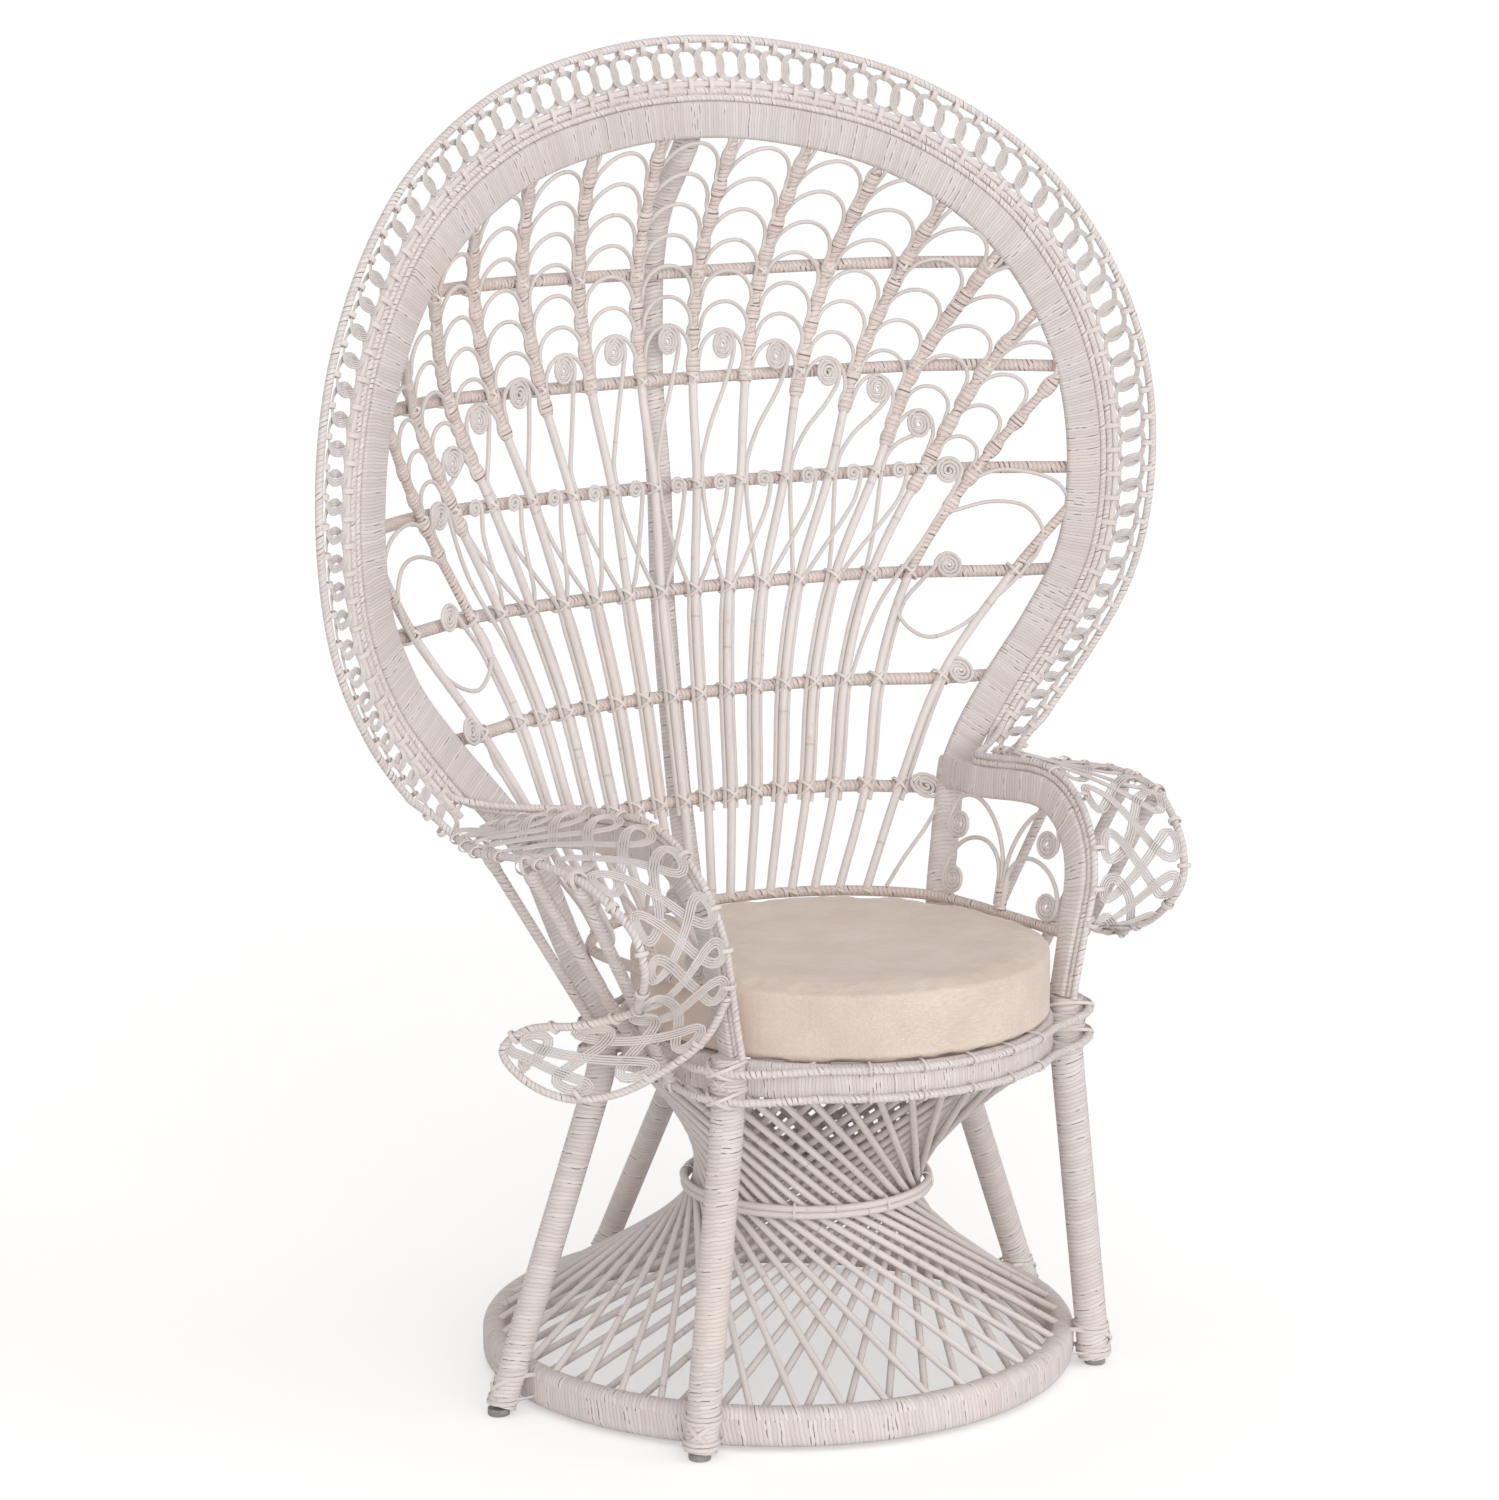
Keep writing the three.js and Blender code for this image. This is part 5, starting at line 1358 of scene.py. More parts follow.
def beside_run(rib, side, high, steps):
    """A reed's straight run beside a rib, from under the first bar up to a height."""
    low = BAR_FIRST - BELOW_FIRST_BAR
    return [beside_rib(rib, mix(low, high, step / steps), side * BESIDE_RIB, -2) for step in range(steps + 1)]


def swung(start_x, end_x, low, high, ways, forward):
    """Places on the back's surface on a reed's way over, by shares across and up."""
    return [on_lattice(mix(start_x, end_x, across), mix(low, high, up), forward) for across, up in ways]


def reed_and_scroll(run, bends, curl, samples=8, radius=REED_RADIUS):
    """A reed that leaves its run, swings over by the bends and thins into a scroll."""
    stem = SmoothCurve([*run[-3:], *bends, curl[0], curl[1]], samples).points
    return cane_strip([*run[:-3], *stem], radius, REED_SIDES), scroll_strip(curl)


def middle_cell(left, x, z):
    """Two reeds that cross: one ends in a small scroll at the fourth bar, the other in a large one above."""
    right = left + 1
    turn, cross = BAR_HEIGHTS[2], BAR_HEIGHTS[3]
    run = beside_run(left, 1, turn, 8)
    small_x = (rib_at(left, cross).x + rib_at(right, cross).x) / 2
    curl = scroll_places(small_x, cross, 9.0, 9.5, 2.0, 1, 4.0)
    bends = swung(run[-1].x, curl[0].x, turn, cross, ((0.22, 0.2), (0.62, 0.5), (0.92, 0.76)), 2)
    small = reed_and_scroll(run, bends, curl, 10)
    run = beside_run(right, -1, turn, 8)
    curl = scroll_places(x, z, 14.0, 17.5, 3.3, 1, 3.0)
    over = rib_at(left, cross).x + BESIDE_RIB
    bends = swung(run[-1].x, over, turn, cross, ((0.3, 0.24), (0.66, 0.55), (0.92, 0.85)), -1)
    bends += [beside_rib(left, cross + up, BESIDE_RIB) for up in (4, 24)]
    bends += swung(bends[-1].x, curl[0].x, cross + 24, z, ((0.28, 0.3), (0.72, 0.62), (0.97, 0.86)), 1)
    return [small, reed_and_scroll(run, bends, curl)]


def side_cell(left, x, z, side):
    """One reed that leaves the inner rib at the second bar and ends in a scroll."""
    run = beside_run(left if side > 0 else left + 1, side, BAR_HEIGHTS[1], 6)
    curl = scroll_places(x, z, 14.0, 15.5, 3.2, 1, 3)
    bends = swung(run[-1].x, curl[0].x, BAR_HEIGHTS[1], z, ((0.3, 0.35), (0.75, 0.7)), 1)
    return [reed_and_scroll(run, bends, curl)]


def outer_cell(side):
    """The loop, the half arc and the three scrolls that fill the wide outer cell on one side."""
    inner, outer = (2 * RIBS_PER_SIDE - 2, 2 * RIBS_PER_SIDE - 1) if side > 0 else (1, 0)
    made = []
    for line, forward in ((OUTER_LOOP, 2.4), (HALF_ARC, 1.0)):
        route = SmoothCurve([on_lattice(side * x, z, forward) for x, z in line], 7).points
        made.append((cane_strip(route, THIN_REED, REED_SIDES), None))
    left_side = math.pi if side > 0 else 0.0
    for rib, (x, z) in ((inner, INNER_CURL), (outer, OUTER_CURL)):
        curl = scroll_places(side * x, z, 14.5, 15.5, 3.3, -side, 3.5, left_side)
        run = beside_run(rib, side, z - 36, 8)
        bend = on_lattice(mix(run[-1].x, curl[0].x, 0.6), z - 16, 1)
        made.append(reed_and_scroll(run, [bend], curl))
    x, z = FOOT_CURL
    lower_right = -0.5 if side > 0 else math.pi + 0.5
    curl = scroll_places(side * x, z, 14.0, 15.0, 3.3, side, 5.0, lower_right)
    rise = [on_lattice(side * reach, height, 2.0) for reach, height in FOOT_CURL_RISE]
    made.append(reed_and_scroll(rise, [], curl, radius=THIN_REED))
    return made


def make_reeds():
    """The reeds beside the ribs, their small and large scrolls and the scale pattern of arcs."""
    made, arcs, sleeves = [], [], []
    for left in range(2 * RIBS_PER_SIDE - 1):
        middle = left - RIBS_PER_SIDE + 1
        side = 1 if middle > 0 else -1
        if abs(middle) == RIBS_PER_SIDE - 1:
            made += outer_cell(side)
            continue
        z = scroll_height(middle)
        x = middle * RIB_PITCH_TOP * over_rows(RIB_PITCH_SHARES, z)
        made += middle_cell(left, x, z) if abs(middle) <= CROSSED_CELLS else side_cell(left, x, z, side)
        arcs_here, sleeves_here = scale_arcs(left, left + 1, z)
        arcs += arcs_here
        sleeves += sleeves_here
    reeds = [reed for reed, _ in made]
    scrolls = [scroll for _, scroll in made if scroll]
    swept_piece("lattice_reeds", reeds, finish("reed"))
    swept_piece("lattice_scrolls", scrolls, finish("reed"))
    swept_piece("lattice_arcs", arcs, finish("reed"))
    swept_piece("arc_windings", sleeves, finish("bar"))


def across_cell(left, right, z):
    """The two ends of a line square to the fan between two ribs, and the way that the fan runs there."""
    middle = (rib_at(left, z) + rib_at(right, z)) / 2
    above = (rib_at(left, z + 10) + rib_at(right, z + 10)) / 2
    way = Vector((above.x - middle.x, 0, above.z - middle.z)).normalized()
    ends = []
    for rib, sign in ((left, -1), (right, 1)):
        reach = abs(rib_at(rib, z).x - middle.x)
        for _ in range(4):
            height = z - sign * way.x * reach
            reach = abs(rib_at(rib, height).x - middle.x) / way.z
        ends.append(rib_at(rib, height))
    return ends, way


def inside_hoop(place):
    held = min(max(place.z, BAR_FIRST), HOOP_TOP - 1)
    return distance_to_hoop(place.x, place.z) > HOOP_WIDTH / 2 - 5 and abs(place.x) < hoop_half(held)


# The arcs: their spacing up a cell, how far their feet run down the ribs, and how far beside a rib's middle
ARC_SPACING = 33.0
ARC_FOOT_RUN = 16.0
BESIDE_ARC_RIB = 6.6
# An arc's rise as a share of half its span, and the least rise of one that goes over a scroll
ARC_RISE = 0.94
ARC_OVER_SCROLL = 31.0


def scale_arcs(left, right, scroll_z):
    """Arcs that span from rib to rib like scales, square to the fan, on up behind the hoop."""
    arcs, sleeves = [], []
    level = scroll_z - 14
    while level < HOOP_TOP:
        (start, end), way = across_cell(left, right, level)
        middle = (start + end) / 2
        half = (end - start) / 2 * (1 - BESIDE_ARC_RIB / ((end - start).length / 2))
        rise = half.length * ARC_RISE
        if level < scroll_z:
            rise = max(rise, ARC_OVER_SCROLL)
        drops = [ARC_FOOT_RUN, ARC_FOOT_RUN / 2]
        line = [beside_rib(left, start.z - drop, BESIDE_ARC_RIB, 0.5) for drop in drops]
        for step in range(15):
            angle = math.pi * (1 - step / 14)
            place = middle + half * math.cos(angle) + way * (rise * math.sin(angle))
            line.append(on_lattice(place.x, place.z, 1.0))
        line += [beside_rib(right, end.z - drop, -BESIDE_ARC_RIB, 0.5) for drop in reversed(drops)]
        run = []
        for number, place in enumerate(line):
            shown = inside_hoop(place)
            if shown and not run and number:
                run.append(line[number - 1])
            if shown or run:
                run.append(place)
            if run and (not shown or number == len(line) - 1):
                if len(run) > 3:
                    arcs.append(cane_strip(SmoothCurve(run, 3).points, THIN_REED, REED_SIDES))
                run = []
        for rib, foot in ((left, start), (right, end)):
            if foot.z < RIB_TOPS[rib] - 6:
                sleeves.append(foot_sleeve(rib, foot.z - ARC_FOOT_RUN + 3))
        level += ARC_SPACING
    return arcs, sleeves


def foot_sleeve(rib, z, half=9, wide=9.0, deep=6.6):
    """A short winding that ties the feet of two arcs to a rib, full in the middle."""
    stations = []
    for step in range(6):
        share = step / 5
        height = z - half + 2 * half * share
        bulge = 0.72 + 0.28 * math.sin(math.pi * share)
        here = rib_at(rib, height)
        normal = lattice_normal(here.x, height)
        along = (rib_at(rib, height + 4) - here).normalized()
        across = along.cross(normal).normalized()
        stations.append((here, across * wide * bulge, normal * deep * bulge))
    return strip(stations, round_section(1.0, 10))


# Pieces of the border and the arms

def make_border():
    """The edging canes, the rail and its ties, the chain of reed rings and the outer rim."""
    settings = bpy.context.scene.peacock_border
    edgings = [cane_strip(whole_route(edging_route(order)), EDGING_RADIUS, 10, carried) for order in (0, 1)]
    names = ["edging_cane_inner", "edging_cane_outer"]
    swept_piece("edging_canes", edgings, finish("rim"), names)
    section = flat_section(RAIL_WIDTH, RAIL_THICKNESS, 2)
    rail = strip(hoop_stations(CHAIN_FROM, CHAIN_TO, 260, RAIL_MIDDLE), section)
    swept_piece("rail_strip", [rail], finish("cane"), ["border_rail"])
    rings, ties = [], []
    ring_share = (CHAIN_TO - CHAIN_FROM) / CHAIN_RINGS
    for count in range(CHAIN_RINGS):
        share = CHAIN_FROM + ring_share * (count + 0.5)
        high = chain_width(share) / 2
        middle = CHAIN_INNER + high
        centre, across, through = hoop_station(share, middle)
        along = through.cross(across).normalized()
        before, after = (hoop_station(share + step, middle)[0] for step in (-0.004, 0.004))
        spacing = (after - before).length / 0.008 * ring_share
        rings += ring_strands(centre, across, along, through, high, spacing * RING_WIDE, settings)
        inner_tie, _, _ = hoop_station(share, (EDGING_OFFSETS[1] + CHAIN_INNER) / 2)
        outer_tie, _, _ = hoop_station(share, CHAIN_INNER + 2 * high + 1.2)
        ties.append(lashing(inner_tie, across, through, 9.0, 4.6, 5.8))
        ties.append(lashing(outer_tie - along * RING_TIE_BACK, across, through, 6.0, 4.6, 6.2))
    names = ["border_chain_front", "border_chain_back"]
    swept_piece("chain_rings", rings, finish("reed"), names)
    swept_piece("chain_ties", ties, finish("peel"))
    hoop_part = [place for place, _, _ in hoop_stations(0.5, BORDER_TO, 110, rim_offset)]
    halves = []
    for side in (1, -1):
        ear = [beside_arm(shares) for shares in [*RIM_SHARES, *RIM_RETURNS[side]]]
        halves.append(hoop_part[:-2] + SmoothCurve([*hoop_part[-2:], *ear], 20).spaced(130))
    rim = cane_strip(whole_route(*halves), RIM_RADIUS, 10, carried)
    swept_piece("outer_rim_winding", [rim], finish("rim"), ["outer_rim"])


def ring_strands(centre, across, along, through, high, wide, settings):
    """One ring of the chain: a flat ribbon of reeds, bunched where the ring is tied, over the next ring."""
    strips = []
    radius = settings.strand_radius
    steps = 22
    for strand in range(settings.strands):
        inset = radius * 2 * strand
        stations = []
        for step in range(steps):
            angle = math.tau * step / steps
            upward, sideways = math.sin(angle), math.cos(angle)
            rise = math.copysign(abs(upward) ** 0.8, upward) * (high - radius - inset * 0.4)
            reach = math.copysign(abs(sideways) ** 0.9, sideways) * (wide - radius - inset)
            reach -= RING_HEAD_BACK * smoothstep(-0.4, 1, upward)
            lean = RING_LEAN * sideways + (strand - 1.5) * 0.8 * abs(upward) ** 3
            outward = (across * upward + along * sideways).normalized()
            stations.append((centre + across * rise + along * reach + through * lean, outward, through))
        strips.append(strip(stations, round_section(radius * 0.94, 5), closed=True))
    return strips


def make_arms():
    """A flat wound band along each arm and the panel of scrolls under it."""
    bands, reeds, posts = [], [], []
    stations = [(one[0], one[1] * (one[3] / ARM_BAND_WIDTH), one[2]) for one in ARM_STATIONS]
    band = strip(stations, flat_section(ARM_BAND_WIDTH, ARM_BAND_THICKNESS))
    panel_reeds, panel_post = arm_panel()
    for side in (1, -1):
        bands += strips_on_side([band], side)
        reeds += strips_on_side(panel_reeds, side)
        posts += strips_on_side([panel_post], side)
    swept_piece("arm_windings", bands, finish("pole"), ["arm_band_left", "arm_band_right"])
    names = ["arm_panel_left", "arm_panel_right"]
    swept_piece("arm_panel_scrolls", reeds, finish("reed"), names)
    swept_piece("arm_panel_posts", posts, finish("bar"), names)


def in_arm(y, z, outward=0.0):
    return Vector((arm_x(z), y, z)) + ARM_OUTWARD * outward


def arm_panel():
    """Four reeds rise from one wound post on the seat hoop, arch outwards and curl under into scrolls."""
    reeds = []
    foot = SEAT_HOOP_HEIGHT + SEAT_HOOP_RADIUS
    top = foot + POST_HEIGHT
    route = [in_arm(-POST_FORWARD, mix(foot, top, step / 6)) for step in range(7)]
    section = [(POST_HALF_WIDTH * x, POST_HALF_DEPTH * y) for x, y in round_section(1, 12)]
    post = strip(stations_through(route, ARM_OUTWARD), section)
    for number, (forward, height, peak) in enumerate(CURL_PLACES):
        rearward = 1 if forward < POST_FORWARD else -1
        curl = []
        for step in range(ARM_CURL_STEPS + 1):
            angle = -math.tau * ARM_CURL_TURNS * step / ARM_CURL_STEPS
            share = 1 - 0.88 * step / ARM_CURL_STEPS
            y = -forward + rearward * ARM_CURL_WIDE * share * math.cos(angle)
            curl.append(in_arm(y, height + ARM_CURL_TALL * share * math.sin(angle), ARM_REED_INSET))
        # The reeds leave the post side by side, at two heights
        outer = number % 2
        leave = -POST_FORWARD + rearward * (2.4 + 4.0 * outer)
        low = top + 6 - 8 * outer
        rise = peak - (low + height) / 2
        arch = []
        for step in range(1, 12):
            angle = math.pi * step / 12
            share = (1 - math.cos(angle)) / 2
            z = mix(low, height, share) + rise * math.sin(angle)
            arch.append(in_arm(mix(leave, curl[0].y, share), z, ARM_REED_INSET))
        start = [in_arm(leave, mix(foot + 4, low, step / 3), ARM_REED_INSET) for step in range(4)]
        stem = SmoothCurve([*start, *arch, curl[0], curl[1]], 4).points
        reeds.append(strip(stations_through(stem, ARM_OUTWARD), round_section(REED_RADIUS, REED_SIDES)))
        thinned = []
        for step, (centre, across, through) in enumerate(stations_through(curl, ARM_OUTWARD)):
            size = mix(1, SCROLL_END, step / ARM_CURL_STEPS)
            thinned.append((centre, across * size, through * size))
        reeds.append(strip(thinned, round_section(SCROLL_REED + 0.1, REED_SIDES)))
    return reeds, post


def ribbon_strips(route, normals, strands, radius):
    """A ribbon of reeds side by side along a route on a surface."""
    strips = []
    last = len(route) - 1
    for strand in range(strands):
        offset = (strand - (strands - 1) / 2) * radius * 2.4
        stations = []
        for number, centre in enumerate(route):
            along = (route[min(last, number + 1)] - route[max(0, number - 1)]).normalized()
            across = along.cross(normals[number]).normalized()
            stations.append((centre + across * offset, across, across.cross(along)))
        strips.append(strip(stations, round_section(radius, 5)))
    return strips


# How far a ribbon swings to each side of the flare's middle, as a share, and how far over the other one
FLARE_SWING = 0.44
FLARE_LAYER = 2.4


def flare_route(phase, crossings, side, steps_per_wave=18):
    """A ribbon that loops at the flare's edges and crosses it in between, over and under the other one."""
    places, normals = [], []
    steps = round(crossings * steps_per_wave)
    nudge = 0.5 / steps
    for step in range(steps + 1):
        turn = math.pi * (crossings * step / steps + phase)
        along = step / steps - 1.0 / crossings * math.sin(2 * turn) / 2
        along = min(max(along, 0.004), 0.996)
        across = 0.5 - FLARE_SWING * math.cos(turn)
        forwards = on_flare(along + nudge, across, side) - on_flare(along - nudge, across, side)
        sideways = on_flare(along, 1, side) - on_flare(along, 0, side)
        normal = forwards.cross(sideways).normalized()
        over = math.sin(2 * turn + math.pi / 4)
        places.append(on_flare(along, across, side) + normal * FLARE_LAYER * over)
        normals.append(normal)
    return places, normals


def make_flares():
    """Open fretwork between each arm's edging and the rim, and the wound struts under it."""
    settings = bpy.context.scene.peacock_border
    ribbons, fret_ties, struts, ties = [], [], [], []
    crossings = settings.flare_crossings
    for side in (1, -1):
        for phase in (0, 1):
            route, normals = flare_route(phase, crossings, side)
            ribbon = ribbon_strips(route, normals, settings.flare_strands, settings.flare_reed)
            ribbons += strips_on_side(ribbon, side)
        for number in range(2 * crossings):
            # The loops lie at one edge and the other by turns
            along, edge = number / 2 / crossings, number % 2
            if not 0.02 < along < 0.98:
                continue
            outwards = (on_flare(along, 1, side) - on_flare(along, 0, side)).normalized()
            forwards = (on_flare(along + 0.01, edge, side) - on_flare(along - 0.01, edge, side)).normalized()
            sideways = outwards.cross(forwards).normalized()
            tie = lashing(on_flare(along, edge, side), outwards, sideways, 7.0, 5.2, 5.0)
            fret_ties += strips_on_side([tie], side)
    names = ["arm_flare_left", "arm_flare_right"]
    swept_piece("flare_fretwork", ribbons, finish("reed"), names)
    swept_piece("flare_ties", fret_ties, finish("peel"))
    for number, shares in enumerate(STRUT_SHARES):
        height = RIM_HEIGHTS[1 if number == 0 else 0]
        angle = math.tau * STRUT_FOOT_TURNS[number]
        foot = on_circle(SEAT_Y, rim_reach(angle), angle, height)
        head = beside_arm(shares)
        direction = (foot - head).normalized()
        route = resampled([head + direction * 4, foot - direction * 4], 6)
        # The pole is thicker where its head is bound
        swell = [1 + 0.3 * math.exp(-((place - head).length - 16) ** 2 / 90) for place in route]
        pole = [
            (centre, across * size, through * size)
            for (centre, across, through), size in zip(stations_through(route, ARM_OUTWARD), swell)
        ]
        radius = STRUT_RADII[number]
        for side in (1, -1):
            struts += strips_on_side([strip(pole, round_section(radius, 12))], side)
        sideways = direction.cross(BACK).normalized()
        knots = []
        for tilt in (-0.6, 0.6):
            knots.append(lashing(head - direction * 2, direction, sideways, 10, radius + 3.5, 4.4, tilt))
            knots.append(lashing(foot, direction, sideways, 9, radius + 2, 4.0, tilt))
        ties += [one for knot in knots for side in (1, -1) for one in strips_on_side([knot], side)]
    names = [f"arm_strut_{side}_{number}" for side in ("left", "right") for number in (1, 2, 3)]
    swept_piece("flare_struts", struts, finish("rim"), names)
    swept_piece("strut_ties", ties, finish("peel"))


# Stage

CAMERA_PLACE = Vector((-2.7184, -3.7865, 1.5820))
CAMERA_TURN = math.radians(35.28)
CAMERA_DROP = math.radians(10.86)
LENS = 104.33
SOFTBOX_ANGLE = 0.9
WHITE = (1, 1, 1, 1)


def looking(turn, drop):
    """The rotation of a light or camera that looks along +Y, turned to the right and then down."""
    level = math.cos(drop)
    way = Vector((math.sin(turn) * level, math.cos(turn) * level, -math.sin(drop)))
    return way.to_track_quat("-Z", "Y").to_euler()


def make_stage():
    """A pale floor, a white surround, soft light and the camera."""
    settings = bpy.context.scene.peacock_stage
    scene = bpy.context.scene
    bpy.ops.object.select_all(action="DESELECT")
    bpy.ops.mesh.primitive_circle_add(
        vertices=128, radius=settings.floor_radius, fill_type="NGON", location=(0, 0, 0),
    )
    floor = bpy.context.active_object
    floor.name = "studio_floor"
    material, add = blank_material("matt_white_vinyl_floor", 0.9, 0.5)
    set_shader(material, Base_Color=linear_colour("#F4F3F2"), Emission_Color=WHITE)
    rays = add("ShaderNodeLightPath", output="Is Camera Ray")
    seen = add(MATH, (rays, settings.floor_glow), operation="MULTIPLY")
    shader = material.node_tree.nodes["Principled BSDF"]
    material.node_tree.links.new(seen, shader.inputs["Emission Strength"])
    floor.data.materials.append(material)

    world = bpy.data.worlds.new("white_studio")
    scene.world = world
    world.use_nodes = True
    tree = world.node_tree
    tree.nodes.clear()
    output = tree.nodes.new("ShaderNodeOutputWorld")
    soft = add_node(tree, "ShaderNodeBackground", {"Color": WHITE, "Strength": settings.fill_light})
    bright = add_node(tree, "ShaderNodeBackground", {"Color": WHITE, "Strength": 1.0})
    rays = add_node(tree, "ShaderNodeLightPath").node.outputs
    either = add_node(tree, MATH, (rays["Is Camera Ray"], rays["Is Glossy Ray"]), operation="MAXIMUM")
    tree.links.new(add_node(tree, "ShaderNodeMixShader", (either, soft, bright)), output.inputs[0])

    for name, turn, drop, strength in (
        ("key_softbox", 25, 14, settings.key_light), ("side_softbox", -35, 25, settings.side_light),
    ):
        lamp = bpy.data.lights.new(name, "SUN")
        lamp.energy = strength
        lamp.angle = SOFTBOX_ANGLE
        holder = bpy.data.objects.new(name, lamp)
        scene.collection.objects.link(holder)
        holder.rotation_euler = looking(math.radians(turn), math.radians(drop))

    camera = bpy.data.cameras.new("photo_camera")
    camera.lens = LENS
    camera.sensor_width = 36
    camera.clip_end = 60
    holder = bpy.data.objects.new("photo_camera", camera)
    scene.collection.objects.link(holder)
    holder.location = CAMERA_PLACE + Vector((0, FRAME_SHIFT * MM, 0))
    holder.rotation_euler = looking(CAMERA_TURN, CAMERA_DROP)
    scene.camera = holder
    scene.view_settings.view_transform = "Standard"


# Settings, operators and panel

class ChairFinishSettings(bpy.types.PropertyGroup):
    """Widths of the windings, in millimetres, and the colour of the cushion's threads."""

    hoop_peel: bpy.props.FloatProperty(
        name="Hoop peel width", default=3.6, min=1.5, max=12,
        description="Width of one turn of peel on the broad hoop, in millimetres",
    )
    pole_peel: bpy.props.FloatProperty(
        name="Pole peel width", default=4.6, min=1.5, max=12,
        description="Width of one turn of peel on the legs and the floor ring, in millimetres",
    )
    bar_peel: bpy.props.FloatProperty(
        name="Bar peel width", default=5.5, min=1.5, max=12,
        description="Width of one turn of peel on the cross bars, in millimetres",
    )
    rim_peel: bpy.props.FloatProperty(
        name="Rim peel width", default=5.5, min=1.5, max=16,
        description="Width of one turn of peel on the rim and edging canes, in millimetres",
    )
    cotton: bpy.props.FloatVectorProperty(
        name="Cotton colour", description="Colour of the cushion's threads",
        default=linear_colour("#E0CCC1"), size=4, min=0, max=1, subtype="COLOR",
    )


class ChairCushionSettings(bpy.types.PropertyGroup):
    """How the cushion is filled and how much its cover wrinkles."""

    pressure: bpy.props.FloatProperty(
        name="Filling pressure", description="Pressure that fills the cover in the cloth simulation",
        default=4.0, min=0, max=20,
    )
    spread: bpy.props.FloatProperty(
        name="Spread", description="How much wider the cover is cut than the filled cushion", default=0.014,
        min=0, max=0.02, subtype="DISTANCE", unit="LENGTH",
    )
    edge_lift: bpy.props.FloatProperty(
        name="Edge fullness", description="How much the filling lifts the edge of the top", default=0.005,
        min=0, max=0.02, subtype="DISTANCE", unit="LENGTH",
    )
    wrinkle: bpy.props.FloatProperty(
        name="Wrinkle depth", description="Depth of the folds in the loose cover", default=0.0022,
        min=0, max=0.01, subtype="DISTANCE", unit="LENGTH",
    )


class ChairBorderSettings(bpy.types.PropertyGroup):
    """The reeds of the chain border and of the flares."""

    strands: bpy.props.IntProperty(
        name="Ring reeds", description="Reeds side by side in each ring of the chain",
        default=4, min=1, max=6,
    )
    strand_radius: bpy.props.FloatProperty(
        name="Ring reed radius", description="Radius of a reed in the chain, in millimetres",
        default=1.15, min=0.5, max=4,
    )
    flare_strands: bpy.props.IntProperty(
        name="Fretwork reeds", description="Reeds side by side in each ribbon of the flares",
        default=4, min=1, max=7,
    )
    flare_reed: bpy.props.FloatProperty(
        name="Fretwork reed radius", description="Radius of a reed in the flares, in millimetres",
        default=1.22, min=0.5, max=3,
    )
    flare_crossings: bpy.props.IntProperty(
        name="Fretwork loops", description="Times that each ribbon crosses its flare",
        default=13, min=3, max=30,
    )


class ChairStageSettings(bpy.types.PropertyGroup):
    """Light and floor of the studio."""

    fill_light: bpy.props.FloatProperty(
        name="Fill light", description="Strength of the even light from all round",
        default=0.55, min=0, max=2,
    )
    key_light: bpy.props.FloatProperty(
        name="Key light", description="Strength of the soft light from the front left",
        default=1.45, min=0, max=5,
    )
    side_light: bpy.props.FloatProperty(
        name="Side light", description="Strength of the soft light from the right",
        default=0.45, min=0, max=5,
    )
    floor_glow: bpy.props.FloatProperty(
        name="Floor whiteness", description="How much whiter the floor looks to the camera", default=0.36,
        min=0, max=1,
    )
    floor_radius: bpy.props.FloatProperty(
        name="Floor radius", description="Radius of the round floor", default=14.0, min=2, max=40,
        subtype="DISTANCE", unit="LENGTH",
    )


class PEACOCK_OT_base(bpy.types.Operator):
    """Make the floor ring, the twisted canes, the waist canes and the seat band"""

    bl_idname = "peacock.base"
    bl_label = "Hourglass base"

    def execute(self, context):
        make_base()
        return {"FINISHED"}


class PEACOCK_OT_seat(bpy.types.Operator):
    """Make the seat's rim canes and lashings, and finish its slats"""

    bl_idname = "peacock.seat"
    bl_label = "Seat rim and slats"

    def execute(self, context):
        make_seat()
        return {"FINISHED"}


class PEACOCK_OT_cushion(bpy.types.Operator):
    """Fill and seam the round cushion"""

    bl_idname = "peacock.cushion"
    bl_label = "Cushion"

    def execute(self, context):
        make_cushion()
        return {"FINISHED"}


class PEACOCK_OT_legs(bpy.types.Operator):
    """Make the wound legs, their lashings and their moulded feet"""

    bl_idname = "peacock.legs"
    bl_label = "Legs and feet"

    def execute(self, context):
        make_legs()
        make_glides()
        return {"FINISHED"}


class PEACOCK_OT_back(bpy.types.Operator):
    """Make the wound hoop, the bars, the ribs and their lashings"""

    bl_idname = "peacock.back"
    bl_label = "Hoop, bars and ribs"

    def execute(self, context):
        make_hoop()
        make_lattice()
        return {"FINISHED"}


class PEACOCK_OT_reeds(bpy.types.Operator):
    """Make the reeds, the scrolls and the arcs of the back"""

    bl_idname = "peacock.reeds"
    bl_label = "Scrolls and arcs"

    def execute(self, context):
        make_reeds()
        return {"FINISHED"}


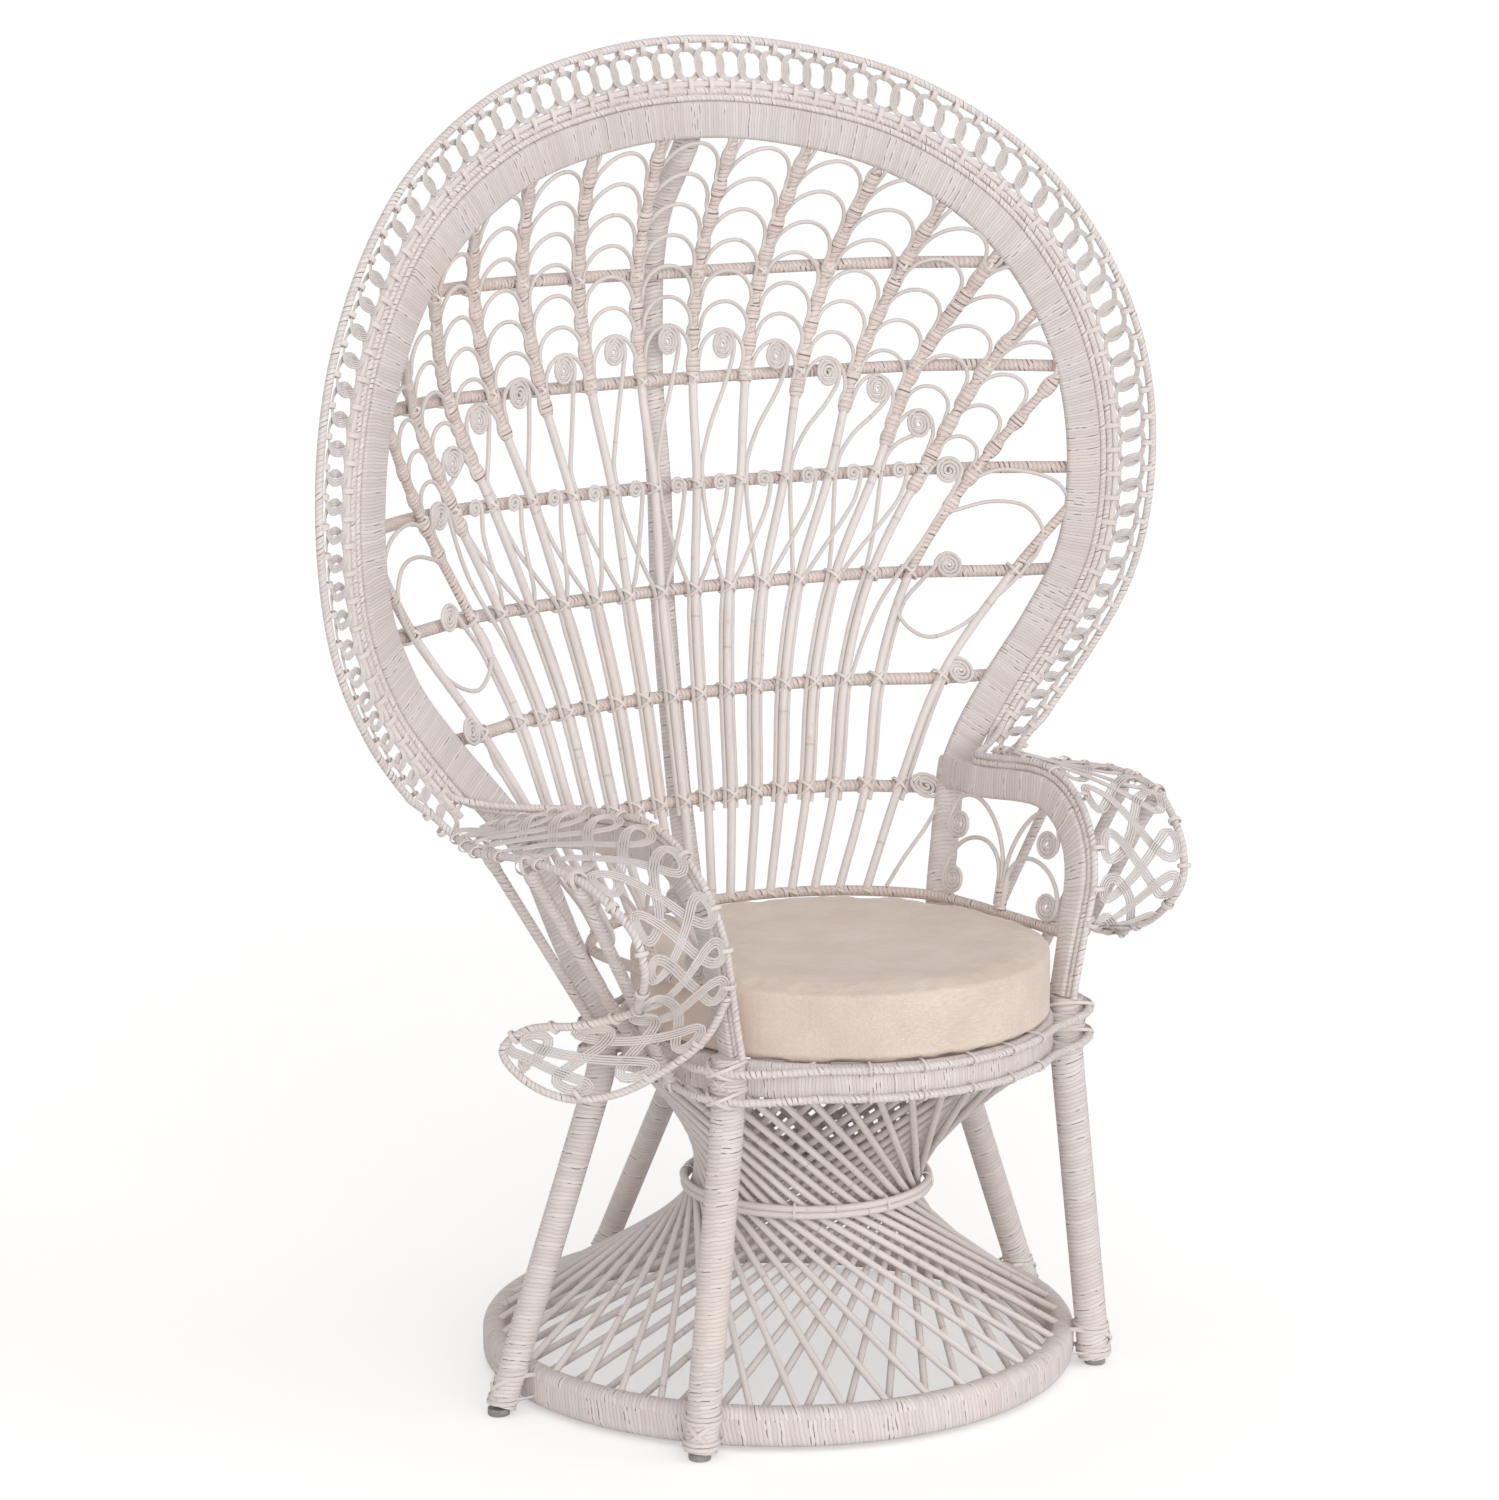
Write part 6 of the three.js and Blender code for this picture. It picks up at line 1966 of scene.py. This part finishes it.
class PEACOCK_OT_border(bpy.types.Operator):
    """Make the edging canes, the rail, the chain and the outer rim"""

    bl_idname = "peacock.border"
    bl_label = "Chain border"

    def execute(self, context):
        make_border()
        return {"FINISHED"}


class PEACOCK_OT_arms(bpy.types.Operator):
    """Make the arm bands, their scroll panels, the flares and the struts"""

    bl_idname = "peacock.arms"
    bl_label = "Arms and flares"

    def execute(self, context):
        make_arms()
        make_flares()
        return {"FINISHED"}


class PEACOCK_OT_stage(bpy.types.Operator):
    """Set out the floor, the light and the camera"""

    bl_idname = "peacock.stage"
    bl_label = "Stage"

    def execute(self, context):
        make_stage()
        return {"FINISHED"}


OPERATORS = (
    PEACOCK_OT_stage, PEACOCK_OT_base, PEACOCK_OT_seat, PEACOCK_OT_legs, PEACOCK_OT_back,
    PEACOCK_OT_reeds, PEACOCK_OT_border, PEACOCK_OT_arms, PEACOCK_OT_cushion,
)
SETTINGS = {
    "peacock_finish": ChairFinishSettings, "peacock_cushion": ChairCushionSettings,
    "peacock_border": ChairBorderSettings, "peacock_stage": ChairStageSettings,
}


class PEACOCK_PT_panel(bpy.types.Panel):
    """The chair's pieces and settings"""

    bl_idname = "PEACOCK_PT_panel"
    bl_label = "Peacock chair"
    bl_space_type = "VIEW_3D"
    bl_region_type = "UI"
    bl_category = "Peacock chair"

    def draw(self, context):
        for name, group in SETTINGS.items():
            box = self.layout.box()
            for setting in group.__annotations__:
                box.prop(getattr(context.scene, name), setting)
        for operator in OPERATORS:
            self.layout.operator(operator.bl_idname)


def register():
    for name, group in SETTINGS.items():
        bpy.utils.register_class(group)
        setattr(bpy.types.Scene, name, bpy.props.PointerProperty(type=group))
    for operator in OPERATORS:
        bpy.utils.register_class(operator)
    bpy.utils.register_class(PEACOCK_PT_panel)


def unregister():
    bpy.utils.unregister_class(PEACOCK_PT_panel)
    for operator in reversed(OPERATORS):
        bpy.utils.unregister_class(operator)
    for name, group in SETTINGS.items():
        delattr(bpy.types.Scene, name)
        bpy.utils.unregister_class(group)


def main():
    register()
    for operator in OPERATORS:
        getattr(bpy.ops.peacock, operator.bl_idname.split(".")[1])()


if __name__ == "__main__":
    main()
